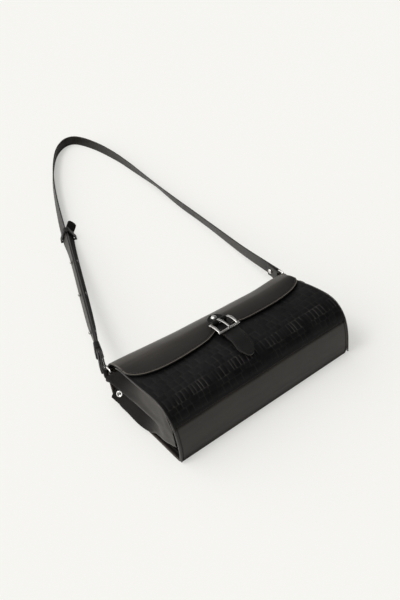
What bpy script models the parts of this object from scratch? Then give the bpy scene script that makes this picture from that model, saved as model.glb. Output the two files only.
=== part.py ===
# Crossbody bag lying on its back, with its shoulder strap laid out behind it on the same surface.
# Metres. X runs along the bag, Y towards its top edge and Z up from the surface it lies on.
# The origin is the centre of the back panel's outer face.

import math

import bmesh
import bpy
from mathutils import Vector

# Bag body
bag_width = 0.250
bag_height = 0.134
bag_depth = 0.071
leather = 0.0018
lining_cloth = 0.0008
bottom_board = 0.0012
gap = 0.0003
overrun = 0.002
seam_lap = 0.006
back_corner_radius = 0.004
board_margin = 0.010
lining_margin = 0.0095
pocket_width = 0.150
pocket_height = 0.080
pocket_corner_radius = 0.006

# Gussets
gusset_inset = 0.0025
gusset_bulge = 0.0070
gusset_recess = 0.0040
gusset_edge_clearance = 0.0006

# Flap
flap_side_inset = 0.0005
flap_stand_off = 0.0004
flap_drop = 0.0543
flap_lining_inset = 0.0030

# Closure strip, tab and magnetic snap
strip_width = 0.0205
strip_leather = 0.0020
chape_leather = 0.0014
chape_top = 0.0290
strip_end = -0.0100
tab_end = -0.0545
tab_tip_length = 0.0125
tab_lean = 0.0080
tab_droop = 0.0012
magnet_radius = 0.0070
magnet_height = 0.0013
magnet_place = -0.0380

# Buckle
buckle_width = 0.0290
buckle_bar_y = 0.0130
buckle_length = 0.0195
buckle_wire = 0.0012
buckle_front_wire = 0.0017
buckle_arch = 0.0022
buckle_corner_radius = 0.0022
prong_width = 0.0030
prong_metal = 0.0014
prong_slot = 0.0044
prong_rise = 0.0012

# Fasteners
rivet_head_radius = 0.0035
rivet_head_height = 0.0024
rivet_place = 0.0220
fastener_shaft_radius = 0.0014
fastener_hole_radius = 0.0017
snap_radius = 0.0040
snap_height = 0.0016
snap_back_height = 0.0008
snap_mouth_radius = 0.0018
snap_mouth_depth = 0.0010
stud_base_radius = 0.0035
stud_base_height = 0.0009
stud_neck_height = 0.0012
stud_ball_radius = 0.0025
stud_spacing = 0.0970
stud_first = 0.0460
stud_count = 3

# Strap rings and the tabs that hold them
ring_wire = 0.0012
ring_clear_width = 0.0170
ring_pitch = 0.0090
ring_corner_radius = 0.0020
ring_inset = 0.0070
ring_tab_leather = 0.0014
ring_tab_width = 0.0140
ring_tab_length = 0.0185
swing_inset = 0.0110

# Shoulder strap
strap_width = 0.0160
strap_leather = 0.0020
adjuster_leather = 0.0018
keeper_leather = 0.0014
keeper_width = 0.0100
keeper_clearance = 0.0004
keeper_lower_place = 0.0050
keeper_upper_place = 0.3050
strap_tip_length = 0.0100
fold_length = 0.0240
end_stud_place = 0.0130
strap_floor_clearance = 0.0002

# Half length and half height of the bag for which the strap's route is drawn
route_half_width = 0.125
route_half_height = 0.067

# Where the doubled stretch of the strap starts and ends, on the middle of the adjuster strip
drawn_doubled_start = Vector((-0.1164, 0.1040, 0.0440))
drawn_doubled_end = Vector((0.0046, 0.3980, 0.0100))

# Drop of the flap's edge below its fold, at places from the centre to the end, as shares of the
# flap's half width and of its full drop
flap_edge_shares = (
    (0.00, 0.785), (0.07, 0.785), (0.13, 0.860), (0.22, 0.940), (0.38, 0.985), (0.57, 1.000),
    (0.74, 0.960), (0.86, 0.875), (0.94, 0.765), (0.98, 0.665), (1.00, 0.570),
)

# Outer line of the front and bottom panels, from the top edge of the front round to the back:
# shares of half the bag's height and of its depth
skin_shares = (
    (0.60, 0.850), (0.52, 0.886), (0.43, 0.908), (0.18, 0.930), (-0.12, 0.968), (-0.37, 0.994),
    (-0.57, 0.996), (-0.74, 0.952), (-0.87, 0.850), (-0.955, 0.720), (-1.005, 0.550), (-1.028, 0.360),
    (-1.031, 0.180), (-1.031, 0.030),
)
front_edge_share = 0.705

# Heights of the gusset's front corner, of the lining's top and of the flap's fold, the places
# that the flap's leaf passes over on the front panel, and the height of the rings
gusset_top_share = 0.52
lining_top_share = 0.54
flap_fold_shares = (0.746, 0.845)
flap_leaf_shares = (0.53, 0.42, 0.20, -0.02, -0.25)
ring_height_share = 0.676

# Outer line of the flap's top, from the back panel's edge up and over to the fold: shares of half
# the bag's height and of its depth
flap_top_shares = (
    (1.031, 0.004), (1.034, 0.270), (0.985, 0.560), (0.860, 0.745),
)

# Fall of the gusset's bulge from the top of the bag to its bottom, and the line of its ridge
bulge_fall_shares = (1.00, 0.93, 0.70, 0.42, 0.18, 0.04, 0.0)
ridge_start_share = 0.45
ridge_end_share = 0.92

half_width = bag_width / 2
half_height = bag_height / 2
ring_bar_y = half_height - ring_inset
ring_z = bag_depth * ring_height_share
strap_swing_y = half_height - swing_inset
ring_tab_foot = ring_bar_y - ring_tab_length
up = Vector((0, 0, 1))
sideways = Vector((1, 0, 0))


# Removes what the scene holds before the bag is built.
def clear_scene():
    for thing in list(bpy.data.objects):
        bpy.data.objects.remove(thing, do_unlink=True)


# Makes one material from its colour, roughness and metallic value.
def make_look(name, colour, roughness, metallic):
    look = bpy.data.materials.new(name)
    look.use_nodes = True
    shader = look.node_tree.nodes["Principled BSDF"]
    shader.inputs["Base Color"].default_value = (*colour, 1)
    shader.inputs["Roughness"].default_value = roughness
    shader.inputs["Metallic"].default_value = metallic
    return look


# Puts a bmesh into the scene as one named object with one material.
def add_part(name, shape, look, smooth=True):
    mesh = bpy.data.meshes.new(name)
    bmesh.ops.recalc_face_normals(shape, faces=shape.faces)
    shape.to_mesh(mesh)
    shape.free()
    part = bpy.data.objects.new(name, mesh)
    bpy.context.collection.objects.link(part)
    mesh.materials.append(look)
    if smooth:
        mesh.shade_smooth()
        mesh.set_sharp_from_angle(angle=math.radians(35))
    return part


# Points of a smooth curve through the given points, a few to each stretch.
def smooth_points(points, steps=6):
    ends = [2 * points[0] - points[1], *points, 2 * points[-1] - points[-2]]
    curve = []
    for index in range(len(points) - 1):
        before, start, finish, after = ends[index:index + 4]
        for step in range(steps):
            share = step / steps
            pull = (finish - before) * share
            bend = (2 * before - 5 * start + 4 * finish - after) * share ** 2
            twist = (3 * start - before - 3 * finish + after) * share ** 3
            curve.append(start + (pull + bend + twist) / 2)
    curve.append(points[-1].copy())
    return curve


# Soft step from 0 to 1 between two shares.
def ease(low, high, share):
    part = min(max((share - low) / (high - low), 0), 1)
    return part * part * (3 - 2 * part)


# A line of points that can be asked for the place and direction at any length along it.
class Route:
    def __init__(self, points):
        self.points = points
        self.marks = [0.0]
        for start, finish in zip(points, points[1:]):
            self.marks.append(self.marks[-1] + (finish - start).length)
        self.length = self.marks[-1]

    def stretch(self, length):
        for index in range(len(self.points) - 2):
            if length <= self.marks[index + 1]:
                return index
        return len(self.points) - 2

    def at(self, length):
        index = self.stretch(length)
        span = self.marks[index + 1] - self.marks[index]
        share = (length - self.marks[index]) / span
        return self.points[index].lerp(self.points[index + 1], share)

    def along(self, length):
        index = self.stretch(min(max(length, 0), self.length))
        reach = self.length / (4 * len(self.points))
        back = self.at(max(length - reach, 0))
        ahead = self.at(min(length + reach, self.length))
        if (ahead - back).length > 0:
            return (ahead - back).normalized()
        return (self.points[index + 1] - self.points[index]).normalized()

    # Length along the route at which one of its coordinates passes a value.
    def where(self, axis, value):
        for index in range(len(self.points) - 1):
            start = self.points[index][axis]
            finish = self.points[index + 1][axis]
            if (start - value) * (finish - value) <= 0 and start != finish:
                share = (value - start) / (finish - start)
                return self.marks[index] + share * (self.marks[index + 1] - self.marks[index])
        return self.length


# A bent sheet: a grid whose corners are placed by a rule, thickened to both sides of the rule.
def sheet(name, place, along, across, thickness, look):
    shape = bmesh.new()
    bmesh.ops.create_grid(shape, x_segments=along, y_segments=across, size=0.5)
    for corner in shape.verts:
        corner.co = place(corner.co.x + 0.5, corner.co.y + 0.5)
    part = add_part(name, shape, look)
    shell = part.modifiers.new("thickness", "SOLIDIFY")
    shell.thickness = thickness
    shell.offset = 0
    shell.use_even_offset = True
    return part


# A band along a list of stations, each the band's middle and half of its width as a vector.
def band(name, stations, thickness, look, across=1):
    last = len(stations) - 1

    def place(along_share, across_share):
        middle, half = stations[round(along_share * last)]
        return middle + half * (2 * across_share - 1)

    return sheet(name, place, last, across, thickness, look)


# A flat piece from its outline, thickened to both sides.
def flat_piece(name, outline, thickness, look):
    shape = bmesh.new()
    shape.faces.new([shape.verts.new(point) for point in outline])
    part = add_part(name, shape, look, smooth=False)
    shell = part.modifiers.new("thickness", "SOLIDIFY")
    shell.thickness = thickness
    shell.offset = 0
    return part


# Outline of a rectangle with round corners, in the plane at one height.
def round_rectangle(low, high, radius, height, steps=5):
    outline = []
    corners = (
        (high[0] - radius, high[1] - radius, 0), (low[0] + radius, high[1] - radius, 1),
        (low[0] + radius, low[1] + radius, 2), (high[0] - radius, low[1] + radius, 3),
    )
    for centre_x, centre_y, quarter in corners:
        for step in range(steps + 1):
            angle = math.pi / 2 * (quarter + step / steps)
            outline.append(Vector((
                centre_x + radius * math.cos(angle), centre_y + radius * math.sin(angle), height)))
    return outline


# A closed wire along a loop of points, with its own thickness at each point.
def wire_loop(name, points, radii, look, sides=2):
    curve = bpy.data.curves.new(name, "CURVE")
    curve.dimensions = "3D"
    curve.bevel_depth = 1
    curve.bevel_resolution = sides
    spline = curve.splines.new("POLY")
    spline.points.add(len(points) - 1)
    for knot, point, radius in zip(spline.points, points, radii):
        knot.co = (*point, 1)
        knot.radius = radius
    spline.use_cyclic_u = True
    curve.materials.append(look)
    part = bpy.data.objects.new(name, curve)
    bpy.context.collection.objects.link(part)
    return part


# Stands a piece on a spot, with its own Z along an axis.
def stand(part, spot, axis):
    part.location = spot
    part.rotation_mode = "QUATERNION"
    part.rotation_quaternion = axis.to_track_quat("Z", "Y")
    return part


# A turned piece: a profile of radius and height spun about an axis through a spot.
def turned(name, profile, spot, axis, look, steps=20):
    shape = bmesh.new()
    corners = [shape.verts.new((radius, 0, height)) for radius, height in profile]
    edges = [shape.edges.new(pair) for pair in zip(corners, corners[1:])]
    bmesh.ops.spin(
        shape, geom=corners + edges, cent=(0, 0, 0), axis=(0, 0, 1), angle=2 * math.pi,
        steps=steps, use_merge=True)
    bmesh.ops.remove_doubles(shape, verts=shape.verts, dist=gap / 100)
    return stand(add_part(name, shape, look), spot, axis)


# Cuts a round hole along an axis through each of the given pieces.
def bore(name, spot, axis, radius, reach, pieces):
    shape = bmesh.new()
    bmesh.ops.create_cone(
        shape, cap_ends=True, segments=12, radius1=radius, radius2=radius, depth=2 * reach)
    cutter = stand(add_part(name, shape, steel, smooth=False), spot, axis)
    cut_with(cutter, pieces)


# Takes a cutter out of each of the given pieces.
def cut_with(cutter, pieces):
    cutter.hide_render = True
    cutter.display_type = "WIRE"
    for piece in pieces:
        cut = piece.modifiers.new(cutter.name, "BOOLEAN")
        cut.operation = "DIFFERENCE"
        cut.solver = "EXACT"
        cut.object = cutter


# Parents pieces to an empty that stands on the axis they turn or slide on.
def hang(name, spot, pieces, carrier=None):
    pivot = bpy.data.objects.new(name, None)
    pivot.location = spot
    bpy.context.collection.objects.link(pivot)
    bpy.context.view_layer.update()
    if carrier:
        pivot.parent = carrier
        pivot.matrix_parent_inverse = carrier.matrix_world.inverted()
    bpy.context.view_layer.update()
    for piece in pieces:
        piece.parent = pivot
        piece.matrix_parent_inverse = pivot.matrix_world.inverted()
    return pivot


# Half width of a strip near an end that is rounded over a length.
def round_end(full, distance, length):
    share = min(max(distance / length, 0.04), 1)
    return full * math.sqrt(1 - (1 - share) ** 2)


clear_scene()
smooth_hide = make_look("smooth_leather", (0.035, 0.032, 0.030), 0.5, 0)
embossed_hide = make_look("embossed_leather", (0.012, 0.012, 0.013), 0.35, 0)
strap_hide = make_look("strap_leather", (0.030, 0.028, 0.027), 0.45, 0)
cloth = make_look("lining_cloth", (0.05, 0.045, 0.04), 0.9, 0)
board = make_look("board", (0.25, 0.22, 0.18), 0.9, 0)
steel = make_look("nickel", (0.75, 0.74, 0.72), 0.2, 1)
magnet_metal = make_look("magnet_metal", (0.55, 0.55, 0.56), 0.3, 1)


# Body shell: the front and bottom panels follow one line, with the front lapped over the bottom.
skin = Route(smooth_points([
    Vector((0, share_y * half_height, share_z * bag_depth)) for share_y, share_z in skin_shares]))
front_edge = skin.length * front_edge_share


# A place on the body line, moved inwards, and the outward direction there.
def skin_place(length, inset):
    outward = skin.along(length).cross(sideways).normalized()
    return skin.at(length) - outward * inset, outward


# Inset of the inner face of the body shell: the bottom panel lies one layer further in.
def shell_inset(length):
    lap_start = front_edge - 2 * seam_lap
    return (leather + gap) * (1 + ease(lap_start, front_edge - seam_lap, length))


def build_shell():
    front_stations = []
    for step in range(26):
        length = front_edge * step / 25
        front_stations.append((skin_place(length, leather / 2)[0], sideways * half_width))
    front = band("front_panel", front_stations, leather, embossed_hide)
    bottom_stations = []
    start = front_edge - seam_lap
    for step in range(16):
        length = start + (skin.length - start) * step / 15
        bottom_stations.append((
            skin_place(length, leather + gap + leather / 2)[0], sideways * half_width))
    bottom = band("bottom_panel", bottom_stations, leather, smooth_hide)
    outline = round_rectangle(
        (-half_width, -half_height), (half_width, half_height), back_corner_radius, leather / 2)
    back = flat_piece("back_panel", outline, leather, smooth_hide)
    return front, bottom, back


# Board that stiffens the bottom, between the bottom panel and the lining.
def build_board():
    low = skin.where(2, bag_depth * 0.72)
    high = skin.where(2, bag_depth * 0.10)
    stations = []
    for step in range(7):
        length = low + (high - low) * step / 6
        inset = 2 * (leather + gap) + bottom_board / 2
        stations.append((
            skin_place(length, inset)[0], sideways * (half_width - board_margin)))
    return band("bottom_board", stations, bottom_board, board)


# Lining: one cloth that runs down the front, across the bottom and up the back.
def build_lining():
    points = []
    start = skin.where(1, half_height * lining_top_share)
    for step in range(27):
        length = start + (skin.where(2, bag_depth * 0.20) - start) * step / 26
        board_share = ease(front_edge - 3 * seam_lap, front_edge - seam_lap, length)
        inset = shell_inset(length) + lining_cloth / 2 + board_share * (bottom_board + gap)
        points.append(skin_place(length, inset)[0])
    floor_height = leather + gap + lining_cloth / 2
    corner = Vector((0, -half_height * 0.90, floor_height + lining_cloth * 4))
    turn = Vector((0, -half_height * 0.84, floor_height))
    rest = [Vector((0, half_height * share, floor_height)) for share in (-0.6, 0.2, 0.93)]
    half = sideways * (half_width - lining_margin)
    stations = [(point, half) for point in [*points, corner, turn, *rest]]
    lining = band("lining", stations, lining_cloth, cloth)
    pocket_height_z = leather + lining_cloth * 1.5 + 2 * gap
    outline = round_rectangle(
        (-pocket_width / 2, -pocket_height / 2), (pocket_width / 2, pocket_height / 2),
        pocket_corner_radius, pocket_height_z)
    pocket = flat_piece("inner_pocket", outline, lining_cloth, cloth)
    return lining, pocket


# Middle of a gusset's leather: fanned between the back edge and the front edge, bulging
# outwards in a broad fold at the top and drawn in at the bottom.
def gusset_place(down_share, front_share, side):
    start = skin.where(1, half_height * gusset_top_share)
    length = start + (skin.length - start) * 0.97 * down_share
    front_point = skin_place(length, shell_inset(length) + gusset_edge_clearance)[0]
    back_y = half_height * (0.95 + (-0.90 - 0.95) * down_share)
    back_point = Vector((0, back_y, leather + gap + leather / 2))
    point = back_point.lerp(front_point, front_share)
    falls = bulge_fall_shares
    position = min(down_share * (len(falls) - 1), len(falls) - 1.001)
    index = int(position)
    fall = falls[index] + (falls[index + 1] - falls[index]) * (position - index)
    rise = ease(0, ridge_start_share + 0.15 * down_share, front_share)
    drop = 1 - ease(ridge_end_share - 0.45 * down_share, 1, front_share)
    hollow = gusset_recess * ease(0.45, 0.85, down_share) * math.sin(math.pi * front_share)
    reach = half_width - gusset_inset - leather / 2 + gusset_bulge * fall * rise * drop - hollow
    return Vector((side * reach, point.y, point.z))


def build_gusset(name, side):
    def place(down_share, front_share):
        return gusset_place(down_share, front_share, side)

    return sheet(name, place, 18, 14, leather, smooth_hide)


# Snap on the back half of each gusset, set square to the leather.
def build_snap(name, side, gusset):
    down_share = 0.10
    front_share = 0.30
    step = 0.01
    spot = gusset_place(down_share, front_share, side)
    down = gusset_place(down_share + step, front_share, side) - spot
    across = gusset_place(down_share, front_share + step, side) - spot
    axis = down.cross(across).normalized()
    if axis.x * side < 0:
        axis = -axis
    face = leather / 2 + 2 * gap
    profile = (
        (0, -face - snap_back_height), (snap_radius, -face - snap_back_height),
        (snap_radius, -face), (fastener_shaft_radius, -face), (fastener_shaft_radius, face),
        (snap_radius, face), (snap_radius, face + snap_height / 2),
        (snap_radius * 0.86, face + snap_height * 0.9), (snap_radius * 0.65, face + snap_height),
        (snap_mouth_radius, face + snap_height * 0.8),
        (snap_mouth_radius, face + snap_height - snap_mouth_depth),
        (0, face + snap_height - snap_mouth_depth),
    )
    bore(name + "_hole", spot, axis, fastener_hole_radius, snap_radius, [gusset])
    return turned(name, profile, spot, axis, steel)


# Flap: its top rises from the back panel's edge and rolls over to the fold, where the front
# leaf starts. The leaf lies on the front panel, one stand-off above it.
leaf_rise = flap_stand_off + lining_cloth + gap + leather


def flap_line():
    top = [Vector((0, share_y * half_height, share_z * bag_depth))
           for share_y, share_z in flap_top_shares]
    fold_y, fold_z = flap_fold_shares
    fold = Vector((0, fold_y * half_height, fold_z * bag_depth))
    lengths = [skin.where(1, half_height * share) for share in flap_leaf_shares]
    leaf = [skin_place(length, -leaf_rise)[0] for length in lengths]
    return Route(smooth_points([*top, fold, *leaf]))


flap_route = flap_line()
fold_mark = flap_route.where(1, flap_fold_shares[0] * half_height)


# Middle of the flap's leather at a length along its line, with a depth below its outer face.
def flap_place(length, depth):
    outward = flap_route.along(length).cross(sideways).normalized()
    return flap_route.at(length) - outward * depth, outward


# Share of the full drop that the flap's edge reaches at a share of its half width.
def edge_drop(share):
    for (near, near_drop), (far, far_drop) in zip(flap_edge_shares, flap_edge_shares[1:]):
        if share <= far:
            return near_drop + (far_drop - near_drop) * ease(0, 1, (share - near) / (far - near))
    return flap_edge_shares[-1][1]


def build_flap():
    half = half_width - flap_side_inset
    stations = []
    for step in range(19):
        length = (fold_mark - gap / 2) * step / 18
        stations.append((flap_place(length, leather / 2)[0], sideways * half))
    top = band("flap_top", stations, leather, smooth_hide)

    def leaf_place(width_share, drop_share):
        side = math.sin(math.pi / 2 * (2 * width_share - 1))
        length = fold_mark + gap / 2 + flap_drop * edge_drop(abs(side)) * drop_share
        point = flap_place(length, leather / 2)[0]
        return Vector((side * half, point.y, point.z))

    leaf = sheet("flap_leaf", leaf_place, 44, 7, leather, smooth_hide)

    def lining_place(width_share, drop_share):
        side = math.sin(math.pi / 2 * (2 * width_share - 1))
        drop = flap_drop * edge_drop(abs(side)) - 2 * flap_lining_inset
        length = fold_mark + flap_lining_inset + drop * drop_share
        point = flap_place(length, leather + gap + lining_cloth / 2)[0]
        return Vector((side * (half - flap_lining_inset), point.y, point.z))

    lining = sheet("flap_lining", lining_place, 44, 7, lining_cloth, cloth)
    return top, leaf, lining


# Place above the flap's outer face at a place along Y, and the outward direction there.
def on_flap(place_y, height):
    return flap_place(flap_route.where(1, place_y), -height)


strip_middle = gap + strip_leather / 2
strip_top = gap + strip_leather
chape_low = strip_top + gap + chape_leather / 2
bar_height = strip_top + 2 * gap + chape_leather + buckle_wire
chape_high = chape_low + chape_leather + gap
front_bar_height = strip_top + gap + buckle_front_wire


# Points a few steps apart along Y at a height over the flap.
def flap_run(start, finish, steps, height):
    return [on_flap(start + (finish - start) * step / steps, height)[0] for step in range(steps + 1)]


# Closure strip on the flap, with a round upper end.
def build_strip():
    stations = []
    for step in range(21):
        share = 1 - math.cos(math.pi / 2 * step / 20)
        place_y = chape_top + (strip_end + gap / 2 - chape_top) * share
        half = round_end(strip_width / 2, chape_top - place_y, strip_width / 2)
        stations.append((on_flap(place_y, strip_middle)[0], sideways * half))
    return band("closure_strip", stations, strip_leather, smooth_hide)


# Free end of the closure strip, with a blunt point, over the magnetic snap.
def build_tab():
    stations = []
    for step in range(15):
        share = math.sin(math.pi / 2 * step / 14)
        place_y = strip_end - gap / 2 + (tab_end - strip_end) * share
        half = round_end(strip_width / 2, place_y - tab_end, tab_tip_length)
        stations.append((on_tab(place_y), sideways * half))
    return band("closure_tab", stations, strip_leather, smooth_hide)


# Middle of the tab's leather: level with the strip at its root, straight over the magnets, and
# drooping a little towards its point.
def on_tab(place_y):
    root = on_flap(strip_end, strip_middle)[0]
    length = skin.where(1, magnet_place)
    height = 3 * gap + 2 * magnet_height + strip_leather / 2
    over = skin_place(length, -height)[0]
    line = skin.along(length)
    reach = (place_y - over.y) / line.y
    flat = over + line * reach
    lean = tab_lean * (strip_end - place_y) / (strip_end - tab_end)
    beyond = max(0, reach - magnet_radius)
    flat -= up * tab_droop * (beyond / tab_tip_length) ** 2
    root_share = ease(magnet_place + magnet_radius, strip_end, place_y)
    return flat.lerp(Vector((0, place_y, root.z)), root_share) - sideways * lean


# Chape: leather folded round the buckle's hinge bar, its two ends riveted to the flap.
def build_chape():
    fold_radius = buckle_wire + gap + chape_leather / 2
    bar, outward = on_flap(buckle_bar_y, bar_height)
    topwards = outward.cross(sideways).normalized()
    low = flap_run(chape_top - 2 * gap, buckle_bar_y + fold_radius / 2, 8, chape_low)
    turn = []
    for step in range(10):
        angle = math.radians(216 * step / 9)
        turn.append(bar - outward * fold_radius * math.cos(angle)
                    - topwards * fold_radius * math.sin(angle))
    landing = buckle_bar_y + 1.9 * fold_radius
    high = flap_run(landing, chape_top, 8, chape_high)
    half = strip_width / 2 - gap
    stations = []
    for point in [*low, *turn, *high]:
        width = round_end(half, chape_top - point.y, strip_width / 2)
        stations.append((point, sideways * width))
    chape = band("buckle_chape", stations, chape_leather, smooth_hide)
    shape = bmesh.new()
    bmesh.ops.create_cube(shape, size=1)
    reach = fold_radius + chape_leather
    for corner in shape.verts:
        corner.co = Vector((corner.co.x * prong_slot, corner.co.y * 2.6 * reach, corner.co.z * 2 * reach))
        corner.co += bar + topwards * reach * 0.3
    cut_with(add_part("prong_slot", shape, steel, smooth=False), [chape])
    return chape


# Buckle: an arched rectangular frame, with a thinner hinge bar and a thicker front bar.
def build_buckle():
    bar = on_flap(buckle_bar_y, bar_height)[0]
    front_y = buckle_bar_y - buckle_length
    front = on_flap(front_y, front_bar_height)[0]
    lengthways = front - bar
    lift = sideways.cross(lengthways).normalized()
    if lift.z < 0:
        lift = -lift
    half = buckle_width / 2 - buckle_front_wire
    corner = buckle_corner_radius
    points = []
    radii = []

    def add(side, share, radius):
        rise = buckle_arch * math.sin(math.pi * min(max(share, 0), 1))
        points.append(bar + sideways * side + lengthways * share + lift * rise)
        radii.append(radius)

    inset = corner / lengthways.length
    side_wire = (buckle_wire + buckle_front_wire) / 2
    for side in (-1, 1):
        add(side * (half - corner), 0, buckle_wire)
    add(half - corner * 0.3, inset * 0.3, buckle_wire)
    for share in (inset, 0.35, 0.65, 1 - inset):
        add(half, share, side_wire)
    add(half - corner * 0.3, 1 - inset * 0.3, buckle_front_wire)
    for side in (1, -1):
        add(side * (half - corner), 1, buckle_front_wire)
    add(corner * 0.3 - half, 1 - inset * 0.3, buckle_front_wire)
    for share in (1 - inset, 0.65, 0.35, inset):
        add(-half, share, side_wire)
    add(corner * 0.3 - half, inset * 0.3, buckle_wire)
    return wire_loop("buckle_frame", points, radii, steel)


# Prong: a flat bar hooked round the hinge bar, its tip resting on the front bar.
def build_prong():
    hook_radius = buckle_wire + gap + prong_metal / 2
    bar, outward = on_flap(buckle_bar_y, bar_height)
    topwards = outward.cross(sideways).normalized()
    front, front_up = on_flap(buckle_bar_y - buckle_length, front_bar_height)
    rest = front + front_up * (buckle_front_wire + gap + prong_metal / 2)
    tip = rest - topwards * buckle_front_wire * 0.6
    start = bar + outward * hook_radius
    points = []
    for step in range(11):
        angle = math.radians(-60 + 240 * step / 10)
        points.append(bar - outward * hook_radius * math.cos(angle)
                      + topwards * hook_radius * math.sin(angle))
    for share in (0.2, 0.4, 0.6, 0.8, 1):
        rise = outward * prong_rise * math.sin(math.pi * share)
        points.append(start.lerp(tip, share) + rise)
    stations = []
    for index, point in enumerate(points):
        taper = 1 - 0.35 * max(0, index - 10) / 5
        stations.append((point, sideways * prong_width / 2 * taper))
    return band("buckle_prong", stations, prong_metal, steel)


# Domed rivet through the chape, the strip and the flap.
def build_rivet(pieces):
    seat, outward = on_flap(rivet_place, chape_high + chape_leather / 2 + gap)
    foot = chape_high + chape_leather / 2 + gap + leather
    profile = [(0, -foot), (fastener_shaft_radius, -foot), (fastener_shaft_radius, 0),
               (rivet_head_radius, 0)]
    for step in range(1, 6):
        angle = math.pi / 2 * step / 6
        profile.append((rivet_head_radius * math.cos(angle),
                        rivet_head_height * (0.25 + 0.75 * math.sin(angle))))
    profile.append((0, rivet_head_height))
    bore("rivet_hole", seat, outward, fastener_hole_radius, foot + overrun, pieces)
    return turned("closure_rivet", profile, seat, outward, steel)


# Magnetic snap: one half on the front panel and one under the tab.
def build_magnets():
    length = skin.where(1, magnet_place)
    outward = skin_place(length, 0)[1]
    profile = (
        (0, 0), (magnet_radius, 0), (magnet_radius, magnet_height * 0.8),
        (magnet_radius * 0.94, magnet_height), (0, magnet_height),
    )
    middle = sideways * on_tab(magnet_place).x
    low = skin_place(length, -gap)[0] + middle
    high = skin_place(length, -2 * gap - magnet_height)[0] + middle
    under = turned("magnet_panel_half", profile, low, outward, magnet_metal)
    over = turned("magnet_tab_half", profile, high, outward, magnet_metal)
    return under, over


# Ring tabs: leather folded round the ring's inner bar, astride the gusset's top edge.
def build_ring_tab(name, side):
    radius = ring_wire + gap + ring_tab_leather / 2
    centre = Vector((side * ring_x, ring_bar_y, ring_z))
    half = up * ring_tab_width / 2
    stations = []
    for share in (0, 0.5, 0.9):
        reach = ring_tab_foot + (ring_bar_y - ring_tab_foot) * share
        stations.append((Vector((centre.x + side * radius, reach, ring_z)), half))
    for step in range(9):
        angle = math.pi * step / 8
        turn = Vector((side * radius * math.cos(angle), radius * math.sin(angle), 0))
        stations.append((centre + turn, half))
    for share in (0.9, 0.5, 0):
        reach = ring_tab_foot + (ring_bar_y - ring_tab_foot) * share
        stations.append((Vector((centre.x - side * radius, reach, ring_z)), half))
    return band(name, stations, ring_tab_leather, smooth_hide)


ring_x = half_width - gusset_inset - leather / 2 + gusset_bulge


def build_ring(name, side):
    half = ring_clear_width / 2 + ring_wire
    points = []
    corners = ((half, ring_pitch, 0), (0 - half, ring_pitch, 1), (0 - half, 0, 2), (half, 0, 3))
    for corner_z, corner_y, quarter in corners:
        centre_z = corner_z - math.copysign(ring_corner_radius, corner_z)
        centre_y = ring_corner_radius if corner_y == 0 else corner_y - ring_corner_radius
        for step in range(4):
            angle = math.pi / 2 * (quarter + step / 3)
            points.append(Vector((
                side * ring_x, ring_bar_y + centre_y + ring_corner_radius * math.sin(angle),
                ring_z + centre_z + ring_corner_radius * math.cos(angle))))
    return wire_loop(name, points, [ring_wire] * len(points), steel)


# Shoulder strap. It stands on edge, so that its width is upright all along.
route_spread = half_width - route_half_width
route_rise = half_height - route_half_height
left_shift = Vector((-route_spread, route_rise, 0))
doubled_start = drawn_doubled_start + left_shift
doubled_end = drawn_doubled_end + left_shift
doubled_along = (doubled_end - doubled_start).normalized()
outwards_left = up.cross(doubled_along).normalized()
layer_step = (strap_leather + adjuster_leather) / 2 + gap
strap_height = strap_width / 2 + strap_floor_clearance
outer_bar_y = ring_bar_y + ring_pitch
fold_radius_adjuster = ring_wire + gap + adjuster_leather / 2
fold_radius_strap = ring_wire + gap + strap_leather / 2

# The route of the single strap from the doubled stretch round to the right-hand ring.
drawn_route = (
    Vector((0.0220, 0.4470, strap_height)), Vector((0.0395, 0.4910, strap_height)),
    Vector((0.0585, 0.5360, strap_height)), Vector((0.0805, 0.5830, strap_height)),
    Vector((0.1040, 0.6260, strap_height)), Vector((0.1300, 0.6660, strap_height)),
    Vector((0.1530, 0.6900, strap_height)), Vector((0.1720, 0.6990, strap_height)),
    Vector((0.1860, 0.6925, strap_height)), Vector((0.1950, 0.6710, strap_height)),
    Vector((0.2000, 0.6400, strap_height)), Vector((0.2022, 0.6060, strap_height)),
    Vector((0.2015, 0.5640, strap_height)), Vector((0.1983, 0.5200, strap_height)),
    Vector((0.1943, 0.4800, strap_height)), Vector((0.1900, 0.4370, strap_height)),
    Vector((0.1858, 0.3970, strap_height)), Vector((0.1815, 0.3530, 0.0086)),
    Vector((0.1765, 0.3040, 0.0105)), Vector((0.1700, 0.2570, 0.0140)),
    Vector((0.1615, 0.2110, 0.0200)), Vector((0.1515, 0.1640, 0.0280)),
    Vector((0.1440, 0.1300, 0.0350)), Vector((0.1378, 0.1000, 0.0415)),
)


# The drawn route spread to the bag's own length and height.
loop_route = []
for index, drawn in enumerate(drawn_route):
    spread_share = 2 * index / (len(drawn_route) - 1) - 1
    loop_route.append(drawn + Vector((route_spread * spread_share, route_rise, 0)))


# A point on the doubled stretch's line, moved square to it towards the outside.
def doubled_point(length, offset):
    return doubled_start + doubled_along * length + outwards_left * offset


# Stations of a strap that stands on edge, with round or pointed ends over a length.
def upright_stations(points, width, start_tip, end_tip):
    route = Route(points)
    stations = []
    for point, mark in zip(route.points, route.marks):
        half = width / 2
        if start_tip:
            half = min(half, round_end(width / 2, mark, start_tip))
        if end_tip:
            half = min(half, round_end(width / 2, route.length - mark, end_tip))
        stations.append((point, up * half))
    return stations


# Points closer together over the first stretch, so that a rounded end shows.
def with_tip(points, tip):
    route = Route(points)
    fine = [route.at(tip * share ** 2) for share in (0, 0.2, 0.4, 0.6, 0.8, 1)]
    return [*fine, *[point for point, mark in zip(points, route.marks) if mark > tip * 1.3]]


def fold_turn(centre, radius, side):
    turn = []
    for step in range(1, 8):
        angle = math.pi * step / 8
        turn.append(centre + Vector((
            side * radius * math.cos(angle), -radius * math.sin(angle), 0)))
    return turn


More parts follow.
